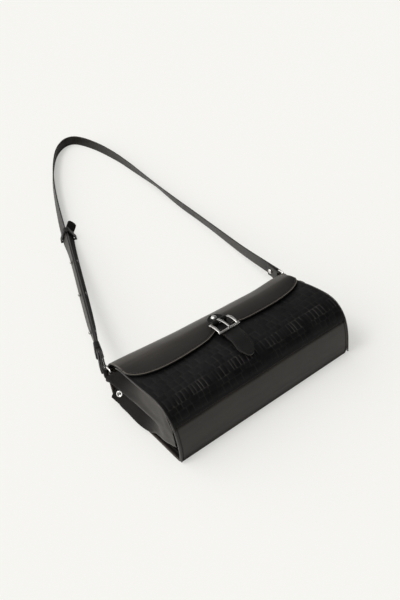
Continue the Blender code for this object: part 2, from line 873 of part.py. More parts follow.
def build_adjuster():
    bar = Vector((-ring_x, outer_bar_y, ring_z))
    radius = fold_radius_adjuster
    short = (adjuster_leather + gap)
    lead = smooth_points([
        Vector((bar.x - radius, outer_bar_y, ring_z)),
        Vector((bar.x - radius * 0.7, outer_bar_y + 0.3 * fold_length, ring_z - gap * 3)),
        doubled_point(-fold_length * 0.75, 0), doubled_point(-fold_length * 0.25, 0),
        doubled_point(0, 0),
    ], 4)
    back = smooth_points([
        doubled_point(-fold_length * 0.30, -short), doubled_point(-fold_length * 0.75, -short),
        Vector((bar.x + radius * 0.8, outer_bar_y + 0.3 * fold_length, ring_z - gap * 3)),
        Vector((bar.x + radius, outer_bar_y, ring_z)),
    ], 4)
    turn = fold_turn(bar, radius, 1)
    length = (doubled_end - doubled_start).length
    run = [doubled_point(length * share / 24, 0) for share in range(1, 25)]
    tongue = [doubled_point(length + strap_tip_length * share, -layer_step * share ** 2 * 0.5)
              for share in (0.5, 1, 1.5, 1.8)]
    points = [*back, *turn, *lead, *run, *tongue]
    points = with_tip(points[::-1], strap_width / 2)[::-1]
    return band(
        "adjuster_strap", upright_stations(points, strap_width, 0, strap_width / 2),
        adjuster_leather, strap_hide)


def build_shoulder_strap():
    length = (doubled_end - doubled_start).length
    tail = [
        Vector((-ring_x - 2 * layer_step, strap_swing_y + 2 * layer_step, ring_z - strap_width * 0.4)),
        Vector((-ring_x - 2.1 * layer_step, outer_bar_y, ring_z - strap_width * 0.25)),
        Vector((-ring_x - 1.9 * layer_step, outer_bar_y + 0.3 * fold_length, ring_z - strap_width * 0.2)),
        doubled_point(-fold_length * 0.7, layer_step * 1.15), doubled_point(-fold_length * 0.25, layer_step),
        doubled_point(0, layer_step),
    ]
    run = [doubled_point(length * share / 12, layer_step) for share in range(1, 13)]
    left = smooth_points([*tail, *run, *loop_route], 4)[:-1]
    bar = Vector((ring_x, outer_bar_y, ring_z))
    radius = fold_radius_strap
    short = strap_leather + gap
    root = Vector((bar.x + radius, outer_bar_y, ring_z))
    lead_way = (loop_route[-1] - root).normalized()
    inner_way = up.cross(lead_way).normalized()
    lead = smooth_points([
        loop_route[-2], loop_route[-1], root + lead_way * fold_length * 0.6,
        root + lead_way * fold_length * 0.3, root], 4)[4:]
    back = smooth_points([
        Vector((bar.x - radius, outer_bar_y, ring_z)),
        root + lead_way * fold_length * 0.4 + inner_way * (short + radius * 0.5),
        root + lead_way * fold_length * 0.65 + inner_way * (short + gap / 2),
        root + lead_way * fold_length + inner_way * short,
    ], 4)
    turn = fold_turn(bar, radius, 1)
    points = with_tip([*left, *lead, *turn, *back], strap_tip_length)
    strap = band(
        "shoulder_strap", upright_stations(points, strap_width, strap_tip_length, 0),
        strap_leather, strap_hide)
    stud_spot = root + lead_way * end_stud_place * 1.35 + inner_way * short / 2
    return strap, stud_spot, inner_way


# Keepers: two equal leather loops round both layers of the doubled stretch.
def build_keepers(places):
    stack = strap_leather + adjuster_leather + gap
    half_across = stack / 2 + keeper_clearance + keeper_leather / 2
    half_high = strap_width / 2 + keeper_clearance + keeper_leather / 2
    upright = outwards_left.cross(doubled_along).normalized()
    if upright.z < 0:
        upright = -upright
    corner = keeper_leather
    outline = []
    for side, level, quarter in ((1, 1, 0), (-1, 1, 1), (-1, -1, 2), (1, -1, 3)):
        for step in range(3):
            angle = math.pi / 2 * (quarter + step / 2)
            outline.append(
                outwards_left * (side * (half_across - corner) + corner * math.cos(angle))
                + upright * (level * (half_high - corner) + corner * math.sin(angle)))
    shape = bmesh.new()
    rows = []
    for end in (-1, 1):
        rows.append([shape.verts.new(point + doubled_along * end * keeper_width / 2)
                     for point in outline])
    count = len(outline)
    for index in range(count):
        ahead = (index + 1) % count
        shape.faces.new((rows[0][index], rows[0][ahead], rows[1][ahead], rows[1][index]))
    first = add_part("keeper_lower", shape, strap_hide)
    second = bpy.data.objects.new("keeper_upper", first.data)
    bpy.context.collection.objects.link(second)
    for keeper, length in zip((first, second), places):
        keeper.location = doubled_point(length, (layer_step - adjuster_leather / 2 + strap_leather / 2) / 2)
        shell = keeper.modifiers.new("thickness", "SOLIDIFY")
        shell.thickness = keeper_leather
        shell.offset = 0
        shell.use_even_offset = True
    return first, second


# Profile of a stud: a base, a shaft through two layers, a neck and a ball head.
def stud_profile(layers):
    profile = [
        (0, -gap - stud_base_height), (stud_base_radius, -gap - stud_base_height),
        (stud_base_radius, -gap), (fastener_shaft_radius, -gap),
        (fastener_shaft_radius, layers + stud_neck_height),
    ]
    centre = layers + stud_neck_height + stud_ball_radius * 0.8
    for step in range(1, 8):
        angle = math.radians(-50 + 140 * step / 8)
        profile.append((stud_ball_radius * math.cos(angle), centre + stud_ball_radius * math.sin(angle)))
    profile.append((0, centre + stud_ball_radius))
    return profile


def build_studs(strap, adjuster):
    layers = strap_leather + adjuster_leather + gap
    studs = []
    for index in range(stud_count):
        spot = doubled_point(stud_first + stud_spacing * index, -adjuster_leather / 2)
        middle = spot + outwards_left * layers / 2
        bore("stud_hole_" + str(index), middle, outwards_left, fastener_hole_radius, layers,
             [strap, adjuster])
        name = "adjuster_stud_" + str(index + 1)
        if studs:
            copy = bpy.data.objects.new(name, studs[0].data)
            bpy.context.collection.objects.link(copy)
            studs.append(stand(copy, spot, outwards_left))
        else:
            studs.append(turned(name, stud_profile(layers), spot, outwards_left, steel, 12))
    return studs


# Stud that holds the strap's fold at the right-hand ring.
def build_end_stud(strap, spot, inner_way):
    layers = 2 * strap_leather + gap
    foot = spot - inner_way * layers / 2
    bore("end_stud_hole", spot, inner_way, fastener_hole_radius, layers, [strap])
    profile = [
        (0, -gap - stud_base_height), (stud_base_radius, -gap - stud_base_height),
        (stud_base_radius, -gap), (fastener_shaft_radius, -gap),
        (fastener_shaft_radius, layers + 2 * gap), (rivet_head_radius, layers + 2 * gap),
        (rivet_head_radius * 0.9, layers + rivet_head_height * 0.6),
        (rivet_head_radius * 0.55, layers + rivet_head_height * 0.9),
        (0, layers + rivet_head_height),
    ]
    return turned("strap_end_stud", profile, foot, inner_way, steel, 12)


front_panel, bottom_panel, back_panel = build_shell()
bottom_board_part = build_board()
lining_part, pocket_part = build_lining()
gussets = {side: build_gusset(name, side) for name, side in (("gusset_left", -1), ("gusset_right", 1))}
build_snap("gusset_snap_left", -1, gussets[-1])
build_snap("gusset_snap_right", 1, gussets[1])
flap_top, flap_leaf, flap_lining = build_flap()
closure_strip = build_strip()
closure_tab = build_tab()
chape_part = build_chape()
buckle_part = build_buckle()
prong_part = build_prong()
rivet_part = build_rivet([chape_part, closure_strip, flap_leaf])
panel_magnet, tab_magnet = build_magnets()
ring_tabs = [build_ring_tab("ring_tab_left", -1), build_ring_tab("ring_tab_right", 1)]
rings = [build_ring("ring_left", -1), build_ring("ring_right", 1)]
adjuster_part = build_adjuster()
strap_part, end_stud_spot, end_stud_way = build_shoulder_strap()
keeper_lower, keeper_upper = build_keepers((keeper_lower_place, keeper_upper_place))
stud_parts = build_studs(strap_part, adjuster_part)
end_stud = build_end_stud(strap_part, end_stud_spot, end_stud_way)

# Joint axes: each moving group hangs from an empty on its own axis.
flap_heel = Vector((0, flap_route.at(0).y, 0))
flap_pivot = hang("flap_top_pivot", flap_heel, [flap_top])
leaf_pivot = hang(
    "flap_leaf_pivot", flap_route.at(fold_mark) + up * gap / 2,
    [flap_leaf, flap_lining, closure_strip, chape_part, rivet_part], flap_pivot)
buckle_pivot = hang("buckle_pivot", on_flap(buckle_bar_y, bar_height)[0], [buckle_part], leaf_pivot)
hang("prong_pivot", on_flap(buckle_bar_y, bar_height)[0], [prong_part], buckle_pivot)
tab_axis = on_flap(strip_end, strip_top)[0]
hang("tab_pivot", tab_axis, [closure_tab, tab_magnet], leaf_pivot)
strap_pivot = hang(
    "strap_pivot", Vector((0, strap_swing_y, ring_z)),
    [*ring_tabs, *rings, adjuster_part, strap_part, *stud_parts, end_stud])
hang("keeper_lower_slide", keeper_lower.location, [keeper_lower], strap_pivot)
hang("keeper_upper_slide", keeper_upper.location, [keeper_upper], strap_pivot)
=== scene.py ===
import math
import random

import bmesh
import bpy
from mathutils import Matrix, Vector, noise


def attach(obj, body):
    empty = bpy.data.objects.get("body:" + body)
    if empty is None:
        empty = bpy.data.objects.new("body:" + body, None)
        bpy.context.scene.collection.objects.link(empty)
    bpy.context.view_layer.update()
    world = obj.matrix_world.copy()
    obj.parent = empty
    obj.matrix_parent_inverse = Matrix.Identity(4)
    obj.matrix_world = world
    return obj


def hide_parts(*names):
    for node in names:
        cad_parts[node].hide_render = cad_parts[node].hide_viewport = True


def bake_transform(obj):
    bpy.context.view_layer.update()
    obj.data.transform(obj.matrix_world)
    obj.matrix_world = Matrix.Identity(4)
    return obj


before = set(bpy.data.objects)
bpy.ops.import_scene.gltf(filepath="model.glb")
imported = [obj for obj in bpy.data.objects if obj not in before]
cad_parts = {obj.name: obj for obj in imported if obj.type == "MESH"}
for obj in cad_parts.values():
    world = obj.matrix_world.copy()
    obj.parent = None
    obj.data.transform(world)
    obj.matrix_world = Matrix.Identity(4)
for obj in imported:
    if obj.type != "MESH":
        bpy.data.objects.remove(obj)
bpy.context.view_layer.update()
print("frame loaded:", len(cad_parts), "nodes")

across = Vector((1, 0, 0))
upwards = Vector((0, 0, 1))

# Studio
studio = {
    "eye": (-0.37625, -0.54058, 0.62767), "turn": (51.942, 6.282, -37.565), "lens": 45.6, "sensor": 36,
    "floorSide": 9.0, "floorLevel": -0.0002, "floorColour": (0.925, 0.922, 0.895),
    "paper": (0.930, 0.928, 0.898), "pale": 0.45, "patchy": 0.985, "skyColour": (1.0, 0.995, 0.985),
    "window": (-0.72, 0.38, 0.58), "windowReach": (0.10, 0.95), "dim": 0.15, "bright": 1.52,
    "low": 0.42, "lowReach": (0.02, 0.22),
    "sunFrom": (-0.50, 0.12, 0.84), "sunLevel": 0.95, "sunSpread": 22, "sunColour": (1.0, 0.985, 0.96),
}


def makeStudio(plan):
    camera = bpy.data.cameras.new("camera")
    camera.lens = plan["lens"]
    camera.sensor_width = plan["sensor"]
    camera.clip_start = 0.01
    holder = bpy.data.objects.new("camera", camera)
    holder.location = plan["eye"]
    holder.rotation_euler = [math.radians(angle) for angle in plan["turn"]]
    bpy.context.collection.objects.link(holder)
    bpy.context.scene.camera = holder
    bpy.context.scene.view_settings.view_transform = "Standard"

    shape = bmesh.new()
    bmesh.ops.create_grid(shape, x_segments=2, y_segments=2, size=plan["floorSide"] / 2)
    bmesh.ops.translate(shape, verts=shape.verts, vec=(0, 0, plan["floorLevel"]))
    mesh = bpy.data.meshes.new("floor")
    shape.to_mesh(mesh)
    shape.free()
    floor = bpy.data.objects.new("floor", mesh)
    bpy.context.collection.objects.link(floor)

    sun = bpy.data.lights.new("window", "SUN")
    sun.energy = plan["sunLevel"]
    sun.angle = math.radians(plan["sunSpread"])
    sun.color = plan["sunColour"]
    lamp = bpy.data.objects.new("window", sun)
    lamp.rotation_euler = Vector(plan["sunFrom"]).to_track_quat("Z", "Y").to_euler()
    bpy.context.collection.objects.link(lamp)
    return floor


floor = makeStudio(studio)
print("studio set")


# Looks
# A socket that takes part in formulas.
class Val:
    def __init__(self, look, socket):
        self.look = look
        self.socket = socket

    def maths(self, kind, *others):
        sockets = dict(enumerate((self, *others)))
        return self.look.node("Math", {"operation": kind}, sockets)

    def __add__(self, other):
        return self.maths("ADD", other)

    __radd__ = __add__

    def __mul__(self, other):
        return self.maths("MULTIPLY", other)

    __rmul__ = __mul__

    def __sub__(self, other):
        return self.maths("SUBTRACT", other)

    def __rsub__(self, other):
        return (self * -1) + other


class Nodes:
    def __init__(self, tree):
        self.tree = tree

    # Adds one node: its settings first, then the values or links of its sockets.
    def node(self, kind, settings, sockets, output=0):
        made = self.tree.nodes.new("ShaderNode" + kind)
        stops = settings.pop("stops", None)
        for name, value in settings.items():
            setattr(made, name, value)
        if stops:
            for index, (place, colour) in enumerate(stops):
                spots = made.color_ramp.elements
                spot = spots[index] if index < 2 else spots.new(place)
                spot.position = place
                spot.color = (*colour, 1)
        for name, value in sockets.items():
            self.join(value, made.inputs[name])
        return Val(self, made.outputs[output])

    def join(self, value, socket):
        if isinstance(value, Val):
            self.tree.links.new(value.socket, socket)
        else:
            socket.default_value = value


class Look(Nodes):
    def __init__(self, name, **sockets):
        self.material = bpy.data.materials.new(name)
        self.material.use_nodes = True
        super().__init__(self.material.node_tree)
        self.shader = self.tree.nodes["Principled BSDF"]
        for socket, value in sockets.items():
            self.shader.inputs[socket.replace("_", " ")].default_value = value
        self.place = self.node("TexCoord", {}, {}, "Object")

    def feed(self, socket, value):
        self.join(value, self.shader.inputs[socket])

    def cloud(self, scale, detail=3, rough=0.5, drawn=None):
        place = self.place
        if drawn:
            place = self.node("VectorMath", {"operation": "MULTIPLY"}, {0: place, 1: drawn})
        sockets = {"Vector": place, "Scale": scale, "Detail": detail, "Roughness": rough}
        return self.node("TexNoise", {}, sockets)

    def cells(self, scale, feature="F1"):
        return self.node("TexVoronoi", {"feature": feature}, {"Vector": self.place, "Scale": scale})

    def mark(self, name):
        return self.node("Attribute", {"attribute_name": name}, {}, "Fac")

    def tint(self, share, low, high):
        low, high = [(*colour, 1) if isinstance(colour, tuple) else colour for colour in (low, high)]
        return self.node("Mix", {"data_type": "RGBA"}, {0: share, 6: low, 7: high}, 2)

    def bump(self, height, distance):
        sockets = {"Strength": 1.0, "Distance": distance, "Height": height}
        self.feed("Normal", self.node("Bump", {}, sockets))

    # Mixes a second shader over the first by a share.
    def blend(self, share, shader):
        first = Val(self, self.shader.outputs[0])
        mixed = self.node("MixShader", {}, {0: share, 1: first, 2: shader})
        self.join(mixed, self.tree.nodes["Material Output"].inputs["Surface"])


# The room: bright towards the window, dim on the far side, with a low bright band all round.
def makeRoom(plan):
    world = bpy.data.worlds.new("room")
    bpy.context.scene.world = world
    world.use_nodes = True
    room = Nodes(world.node_tree)
    way = room.node("TexCoord", {}, {}, "Generated")
    window = Vector(plan["window"]).normalized()
    facing = room.node("VectorMath", {"operation": "DOT_PRODUCT"}, {0: way, 1: window}, "Value")
    height = room.node("SeparateXYZ", {}, {0: way}, "Z")

    def fade(value, reach, start, finish):
        sockets = {"Value": value, "From Min": reach[0], "From Max": reach[1],
                   "To Min": start, "To Max": finish}
        return room.node("MapRange", {"interpolation_type": "SMOOTHSTEP"}, sockets)

    glow = fade(facing, plan["windowReach"], plan["dim"], plan["bright"])
    band = fade(height, plan["lowReach"], plan["low"], 0.0)
    seen = room.node("LightPath", {}, {}, "Is Camera Ray")
    sockets = {0: seen, 6: (*plan["skyColour"], 1), 7: (*plan["paper"], 1)}
    shader = world.node_tree.nodes["Background"]
    room.join(room.node("Mix", {"data_type": "RGBA"}, sockets, 2), shader.inputs["Color"])
    room.join((glow + band) * (1 - seen) + seen, shader.inputs["Strength"])


leathers = {
    "smooth": {"dark": (0.0085, 0.0069, 0.0053), "light": (0.0310, 0.0257, 0.0206), "rough": 0.42,
               "grain": 1150, "depth": 0.00006, "shine": 0.38, "dull": 0.90},
    "strap": {"dark": (0.0060, 0.0049, 0.0038), "light": (0.0165, 0.0138, 0.0110), "rough": 0.44,
              "grain": 1400, "depth": 0.00005, "shine": 0.28},
    "inner": {"dark": (0.0020, 0.0018, 0.0016), "light": (0.0070, 0.0064, 0.0058), "rough": 0.78,
              "grain": 900, "depth": 0.00010, "shine": 0.08},
    "flap": {"dark": (0.0150, 0.0124, 0.0096), "light": (0.0740, 0.0632, 0.0507), "rough": 0.36,
             "grain": 1150, "depth": 0.00006, "shine": 0.56, "dull": 0.70},
    "tab": {"dark": (0.0020, 0.0019, 0.0018), "light": (0.0060, 0.0056, 0.0052), "rough": 0.52,
            "grain": 1150, "depth": 0.00005, "shine": 0.20},
    "piping": {"dark": (0.0140, 0.0123, 0.0105), "light": (0.0380, 0.0335, 0.0290), "rough": 0.38,
               "grain": 1300, "depth": 0.00004, "shine": 0.60},
    "embossed": {"dark": (0.0018, 0.0018, 0.0019), "light": (0.0060, 0.0060, 0.0062), "rough": 0.40,
                 "grain": 1600, "depth": 0.00003, "shine": 0.16,
                 # Marks over the colour: painted highlights in the grooves and on the rim, the plain
                 # border's own tone, and painted shade in the crease line.
                 "marks": (
                     ("groove", 0.9, (0.0400, 0.0380, 0.0355)), ("border", 0.6, (0.0095, 0.0088, 0.0080)),
                     ("rim", 0.8, (0.050, 0.044, 0.038)), ("crease", 0.9, (0.0012, 0.0012, 0.0013)))},
}


# Leather: mottled dye, long faint streaks and fine pores, with painted shade in creases and where the
# shade mark lies, and painted highlights on rims.
def leatherLook(name, plan):
    look = Look(name, Specular_IOR_Level=plan["shine"])
    mottle = look.cloud(26, 4, 0.6)
    streak = look.cloud(150, 3, 0.6, (0.10, 1.0, 1.0))
    share = mottle * 0.7 + streak * 1.1 - 0.45
    colour = look.tint(share, plan["dark"], plan["light"])
    rimHighlight = tuple(min(1, channel * 3.2) for channel in plan["light"])
    # Painted highlight: the rim mark lightens the colour along edges and ridges.
    colour = look.tint(look.mark("rim") * 0.8, colour, rimHighlight)
    # Painted shade: the shade and crease marks darken the colour towards a near-black.
    sunk = tuple(channel * 0.3 for channel in plan["dark"])
    colour = look.tint(look.mark("shade") * 0.85, colour, sunk)
    colour = look.tint(look.mark("crease") * 0.95, colour, sunk)
    look.feed("Base Color", colour)
    rough = mottle * 0.10 + streak * 0.16 + look.mark("crease") * 0.42 + (plan["rough"] - 0.13)
    rough = rough + look.mark("shade") * 0.15
    look.feed("Roughness", rough)
    pores = look.cells(plan["grain"])
    fine = look.cloud(plan["grain"] * 2.2, 2)
    look.bump(pores * 0.7 + fine * 0.5 + look.mark("crease") * -2.5, plan["depth"])
    # Painted shade: where the shade and crease marks lie, a dark shader that hardly reflects is mixed in.
    if plan.get("dull"):
        sockets = {"Base Color": (*sunk, 1), "Roughness": 0.6, "Specular IOR Level": 0.06}
        share = look.mark("shade").maths("MAXIMUM", look.mark("crease")) * plan["dull"]
        look.blend(share, look.node("BsdfPrincipled", {}, sockets))
    return look.material


# Embossed leather: glossy tiles, with painted highlights in the grooves between them.
def embossedLook(plan):
    look = Look("embossedLeather", Specular_IOR_Level=plan["shine"])
    tone = look.mark("tile") * 0.7 + look.cloud(60, 3) * 0.4 - 0.1
    colour = look.tint(tone, plan["dark"], plan["light"])
    for label, most, shade in plan["marks"]:
        colour = look.tint(look.mark(label) * most, colour, shade)
    look.feed("Base Color", colour)
    look.feed("Roughness", look.mark("groove") * 0.10 + look.cloud(90, 2) * 0.12 + (plan["rough"] - 0.06))
    creases = look.cells(420, "DISTANCE_TO_EDGE")
    look.bump(look.cells(plan["grain"]) * 0.5 + creases * 1.5, plan["depth"])
    return look.material


def paintLook():
    look = Look("edgePaint", Specular_IOR_Level=0.4)
    look.feed("Base Color", look.tint(look.cloud(300, 2), (0.012, 0.0115, 0.011), (0.030, 0.028, 0.026)))
    look.feed("Roughness", look.cloud(500, 2) * 0.2 + 0.32)
    look.bump(look.cloud(900, 2), 0.00008)
    return look.material


def threadLook():
    look = Look("thread", Specular_IOR_Level=0.3)
    fibres = look.cloud(1500, 2)
    look.feed("Base Color", look.tint(fibres, (0.020, 0.0185, 0.0165), (0.080, 0.075, 0.068)))
    look.feed("Roughness", look.cloud(900, 2) * 0.2 + 0.55)
    return look.material


# Cloth: two crossed sets of yarns.
def clothLook():
    look = Look("liningCloth", Specular_IOR_Level=0.2)
    yarns = {"Vector": look.place, "Scale": 420, "Distortion": 0.4}
    warp, weft = [look.node("TexWave", {"bands_direction": way}, yarns) for way in "XY"]
    weave = warp * 0.5 + weft * 0.5
    look.feed("Base Color", look.tint(weave * 0.7 + look.cloud(40, 3) * 0.4 - 0.1,
                                      (0.020, 0.018, 0.017), (0.075, 0.068, 0.062)))
    look.feed("Roughness", look.cloud(200, 2) * 0.1 + 0.82)
    look.bump(weave, 0.0001)
    return look.material


# Nickel plate: faint scratches and duller patches.
def nickelLook(name, colour, rough):
    look = Look(name, Metallic=1.0)
    patches = look.cloud(220, 3)
    dull = tuple(channel * 0.72 for channel in colour)
    look.feed("Base Color", look.tint(patches, colour, dull))
    sockets = {"Vector": look.place, "Scale": 900, "Detail": 2, "Distortion": 2.5}
    streaks = look.node("TexNoise", {}, sockets)
    look.feed("Roughness", patches * 0.14 + streaks * 0.10 + (rough - 0.08))
    look.bump(streaks, 0.00001)
    return look.material


def boardLook():
    look = Look("fibreBoard", Specular_IOR_Level=0.2)
    look.feed("Base Color", look.tint(look.cloud(600, 4), (0.16, 0.13, 0.10), (0.30, 0.26, 0.21)))
    look.feed("Roughness", look.cloud(200, 2) * 0.1 + 0.8)
    look.bump(look.cloud(800, 3), 0.00008)
    return look.material


def floorLook(plan):
    look = Look("floorPaper", Specular_IOR_Level=0.0)
    colour = tuple(channel * plan["patchy"] for channel in plan["floorColour"])
    look.feed("Base Color", look.tint(look.cloud(1.2, 2), colour, plan["floorColour"]))
    look.feed("Roughness", look.cloud(3, 2) * 0.05 + 0.9)
    duller = tuple(channel * plan["patchy"] for channel in plan["paper"])
    glow = look.tint(look.cloud(1.7, 2), duller, plan["paper"])
    paper = look.node("Emission", {}, {"Color": glow, "Strength": 1.0})
    look.blend(look.node("LightPath", {}, {}, "Is Camera Ray") * plan["pale"], paper)
    return look.material


smoothLeather, strapLeather, innerLeather, flapLeather, tabLeather, piping = [
    leatherLook(word + "Leather", leathers[word])
    for word in ("smooth", "strap", "inner", "flap", "tab", "piping")]
embossedLeather = embossedLook(leathers["embossed"])
edgePaint = paintLook()
thread = threadLook()
liningCloth = clothLook()
nickel = nickelLook("nickel", (0.78, 0.765, 0.74), 0.20)
# Painted shade: the studs' nickel is a darker copy of the buckle's nickel.
shadedStudNickel = nickelLook("shadedStudNickel", (0.36, 0.35, 0.335), 0.24)
magnetPlate = nickelLook("magnetPlate", (0.52, 0.52, 0.53), 0.32)
fibreBoard = boardLook()
floor.data.materials.append(floorLook(studio))
makeRoom(studio)
print("looks made")


# Shaping tools
# A point on the smooth run through given points, by its share of their count.
def between(points, share):
    place = share * (len(points) - 1)
    index = min(int(place), len(points) - 2)
    part = place - index
    ends = [2 * points[0] - points[1], *points, 2 * points[-1] - points[-2]]
    before, start, finish, after = ends[index:index + 4]
    bend = (2 * before - 5 * start + 4 * finish - after) * part ** 2
    twist = (3 * start - before - 3 * finish + after) * part ** 3
    return start + ((finish - before) * part + bend + twist) / 2


# A smooth line through given points, measured along its length. A fourth value rides along.
class Line:
    def __init__(self, points, steps=10):
        self.points = [between(points, share) for share in shares((len(points) - 1) * steps)]
        self.marks = [0.0]
        for start, finish in zip(self.points, self.points[1:]):
            self.marks.append(self.marks[-1] + (finish - start).xyz.length)
        self.length = self.marks[-1]

    def at(self, length):
        low, high = 0, len(self.points) - 2
        while low < high:
            middle = (low + high + 1) // 2
            if self.marks[middle] <= length:
                low = middle
            else:
                high = middle - 1
        share = (length - self.marks[low]) / (self.marks[low + 1] - self.marks[low])
        return self.points[low].lerp(self.points[low + 1], share)

    def heading(self, length):
        reach = self.length / len(self.points) / 2
        place = min(max(length, 0), self.length)
        ahead, behind = self.at(min(place + reach, self.length)), self.at(max(place - reach, 0))
        return (ahead - behind).xyz.normalized()

    def where(self, axis, value):
        for index in range(len(self.points) - 1):
            start, finish = self.points[index][axis], self.points[index + 1][axis]
            if (start - value) * (finish - value) <= 0 and start != finish:
                share = (value - start) / (finish - start)
                return self.marks[index] + share * (self.marks[index + 1] - self.marks[index])
        return self.length


# Even shares from 0 to 1.
def shares(count):
    return [step / count for step in range(count + 1)]


def ease(low, high, value):
    share = min(max((value - low) / (high - low), 0), 1)
    return share * share * (3 - 2 * share)


# Marks for the looks: 1 at an edge, or along a line, and 0 from a reach away on.
def atEdge(distance, reach):
    return 1 - ease(0, reach, distance)


def onLine(distance, reach):
    return max(0, 1 - abs(distance) / reach)


# A value read off a few (place, value) pairs, smoothly between them.
def readOff(pairs, place):
    last = len(pairs) - 1
    index = 0
    while index < last - 1 and place > pairs[index + 1][0]:
        index += 1
    before, start, finish, after = [pairs[min(max(index + step, 0), last)] for step in (-1, 0, 1, 2)]
    span = finish[0] - start[0]
    share = min(max((place - start[0]) / span, 0), 1)
    leave = span * (finish[1] - before[1]) / (finish[0] - before[0])
    arrive = span * (after[1] - start[1]) / (after[0] - start[0])
    rise = finish[1] - start[1]
    bend = 3 * rise - 2 * leave - arrive
    twist = leave + arrive - 2 * rise
    return start[1] + share * (leave + share * (bend + share * twist))


def addPiece(name, shape, materials, smooth=35):
    mesh = bpy.data.meshes.new(name)
    shape.to_mesh(mesh)
    shape.free()
    piece = bpy.data.objects.new(name, mesh)
    bpy.context.collection.objects.link(piece)
    for material in materials:
        mesh.materials.append(material)
    mesh.shade_smooth()
    mesh.set_sharp_from_angle(angle=math.radians(smooth))
    return piece


# Fixes the piece's modifiers into its mesh.
def settle(piece):
    depsgraph = bpy.context.evaluated_depsgraph_get()
    done = bpy.data.meshes.new_from_object(piece.evaluated_get(depsgraph))
    old = piece.data
    piece.modifiers.clear()
    piece.data = done
    done.name = piece.name
    bpy.data.meshes.remove(old)
    done.shade_smooth()
    done.set_sharp_from_angle(angle=math.radians(38))
    return piece


# Gives a piece its thickness, with its second material on the cut edge.
def thicken(piece, thickness):
    shell = piece.modifiers.new("thickness", "SOLIDIFY")
    shell.thickness = thickness
    shell.offset = 0
    shell.use_even_offset = True
    shell.material_offset_rim = min(1, len(piece.data.materials) - 1)


# Rounds a piece's sharp edges.
def soften(piece, width, segments=2):
    bevel = piece.modifiers.new("edges", "BEVEL")
    bevel.width = width
    bevel.segments = segments
    bevel.limit_method = "ANGLE"
    bevel.angle_limit = math.radians(50)


# A sheet of leather or cloth: a grid laid out by a rule, given its thickness and round edges.
# marks(xShare, yShare) gives the values of the attributes that the looks read.
def makeSheet(name, place, columns, rows, thickness, materials, marks=None, rounding=0.25, drop=None):
    shape = bmesh.new()
    bmesh.ops.create_grid(shape, x_segments=columns, y_segments=rows, size=0.5)
    if drop:
        middles = [(face, face.calc_center_median()) for face in shape.faces]
        gone = [face for face, middle in middles if drop(middle.x + 0.5, middle.y + 0.5)]
        bmesh.ops.delete(shape, geom=gone, context="FACES")
    labels = marks(0.5, 0.5) if marks else {}
    layers = {label: shape.verts.layers.float.new(label) for label in labels}
    for corner in shape.verts:
        pair = (corner.co.x + 0.5, corner.co.y + 0.5)
        if marks:
            for label, value in marks(*pair).items():
                corner[layers[label]] = value
        corner.co = place(*pair)
    bmesh.ops.recalc_face_normals(shape, faces=shape.faces)
    piece = addPiece(name, shape, materials)
    thicken(piece, thickness)
    if rounding:
        soften(piece, thickness * rounding)
    return settle(piece)


# A band along stations, each the band's middle and half of its width as a vector.
def makeBand(name, stations, columns, thickness, materials, marks, drop=None):
    last = len(stations) - 1

    def place(xShare, yShare):
        middle, half = stations[round(yShare * last)]
        return middle + half * (2 * xShare - 1)

    return makeSheet(name, place, columns, last, thickness, materials, marks, 0.3, drop)


# Rim mark of a band: 1 at its long edges, falling to 0 a little way in. The looks paint a highlight
# there.
def bandMarks(width, reach=0.0016, most=1.0):
    def marks(xShare, yShare):
        return {"rim": most * atEdge(min(xShare, 1 - xShare) * width, reach)}
    return marks


# A turned piece: a profile of radius and height spun about an axis through a spot.
def makeTurned(name, profile, spot, axis, material, steps=40):
    shape = bmesh.new()
    corners = [shape.verts.new((radius, 0, height)) for radius, height in profile]
    edges = [shape.edges.new(pair) for pair in zip(corners, corners[1:])]
    bmesh.ops.spin(shape, geom=corners + edges, cent=(0, 0, 0), axis=(0, 0, 1),
                   angle=2 * math.pi, steps=steps, use_merge=True)
    bmesh.ops.remove_doubles(shape, verts=shape.verts, dist=0.000001)
    turn = axis.to_track_quat("Z", "Y").to_matrix().to_4x4()
    bmesh.ops.transform(shape, matrix=Matrix.Translation(spot) @ turn, verts=shape.verts)
    bmesh.ops.recalc_face_normals(shape, faces=shape.faces)
    return addPiece(name, shape, [material], 40)


# The round top of a turned profile: an arc up to the axis from a start angle in degrees.
def dome(radius, foot, rise, start=0, steps=10):
    points = []
    for share in shares(steps)[1:]:
        angle = math.radians(start + (90 - start) * share)
        points.append((radius * math.cos(angle), foot + rise * math.sin(angle)))
    return points


# A bar of round or flat section along a closed or open run of points.
def makeBar(name, points, material, width, height, closed, sides, outwards, taper=None):
    shape = bmesh.new()
    count = len(points)
    rings = []
    for index, point in enumerate(points):
        ahead = points[(index + 1) % count] if closed or index < count - 1 else point
        behind = points[index - 1] if closed or index > 0 else point
        way = (ahead - behind).normalized()
        lift = outwards[index] if isinstance(outwards, list) else outwards
        lift = (lift - way * lift.dot(way)).normalized()
        side = way.cross(lift)
        share = taper(index / (count - 1)) if taper else 1
        ring = []
        for step in range(sides):
            angle = 2 * math.pi * (step + 0.5) / sides
            sideways, lifted = math.cos(angle), math.sin(angle)
            swell = 1 if width == height else max(abs(sideways), abs(lifted)) ** 0.7
            spot = point + side * sideways / swell * width / 2 * share
            ring.append(shape.verts.new(spot + lift * lifted / swell * height / 2))
        rings.append(ring)
    loops = []
    for ring in rings:
        loops.append([shape.edges.new((ring[step], ring[(step + 1) % sides])) for step in range(sides)])
    pairs = list(zip(loops, loops[1:]))
    if closed:
        pairs.append((loops[-1], loops[0]))
    for first, second in pairs:
        bmesh.ops.bridge_loops(shape, edges=first + second)
    if not closed:
        shape.faces.new(rings[0])
        shape.faces.new(rings[-1])
    bmesh.ops.recalc_face_normals(shape, faces=shape.faces)
    return addPiece(name, shape, [material], 40)


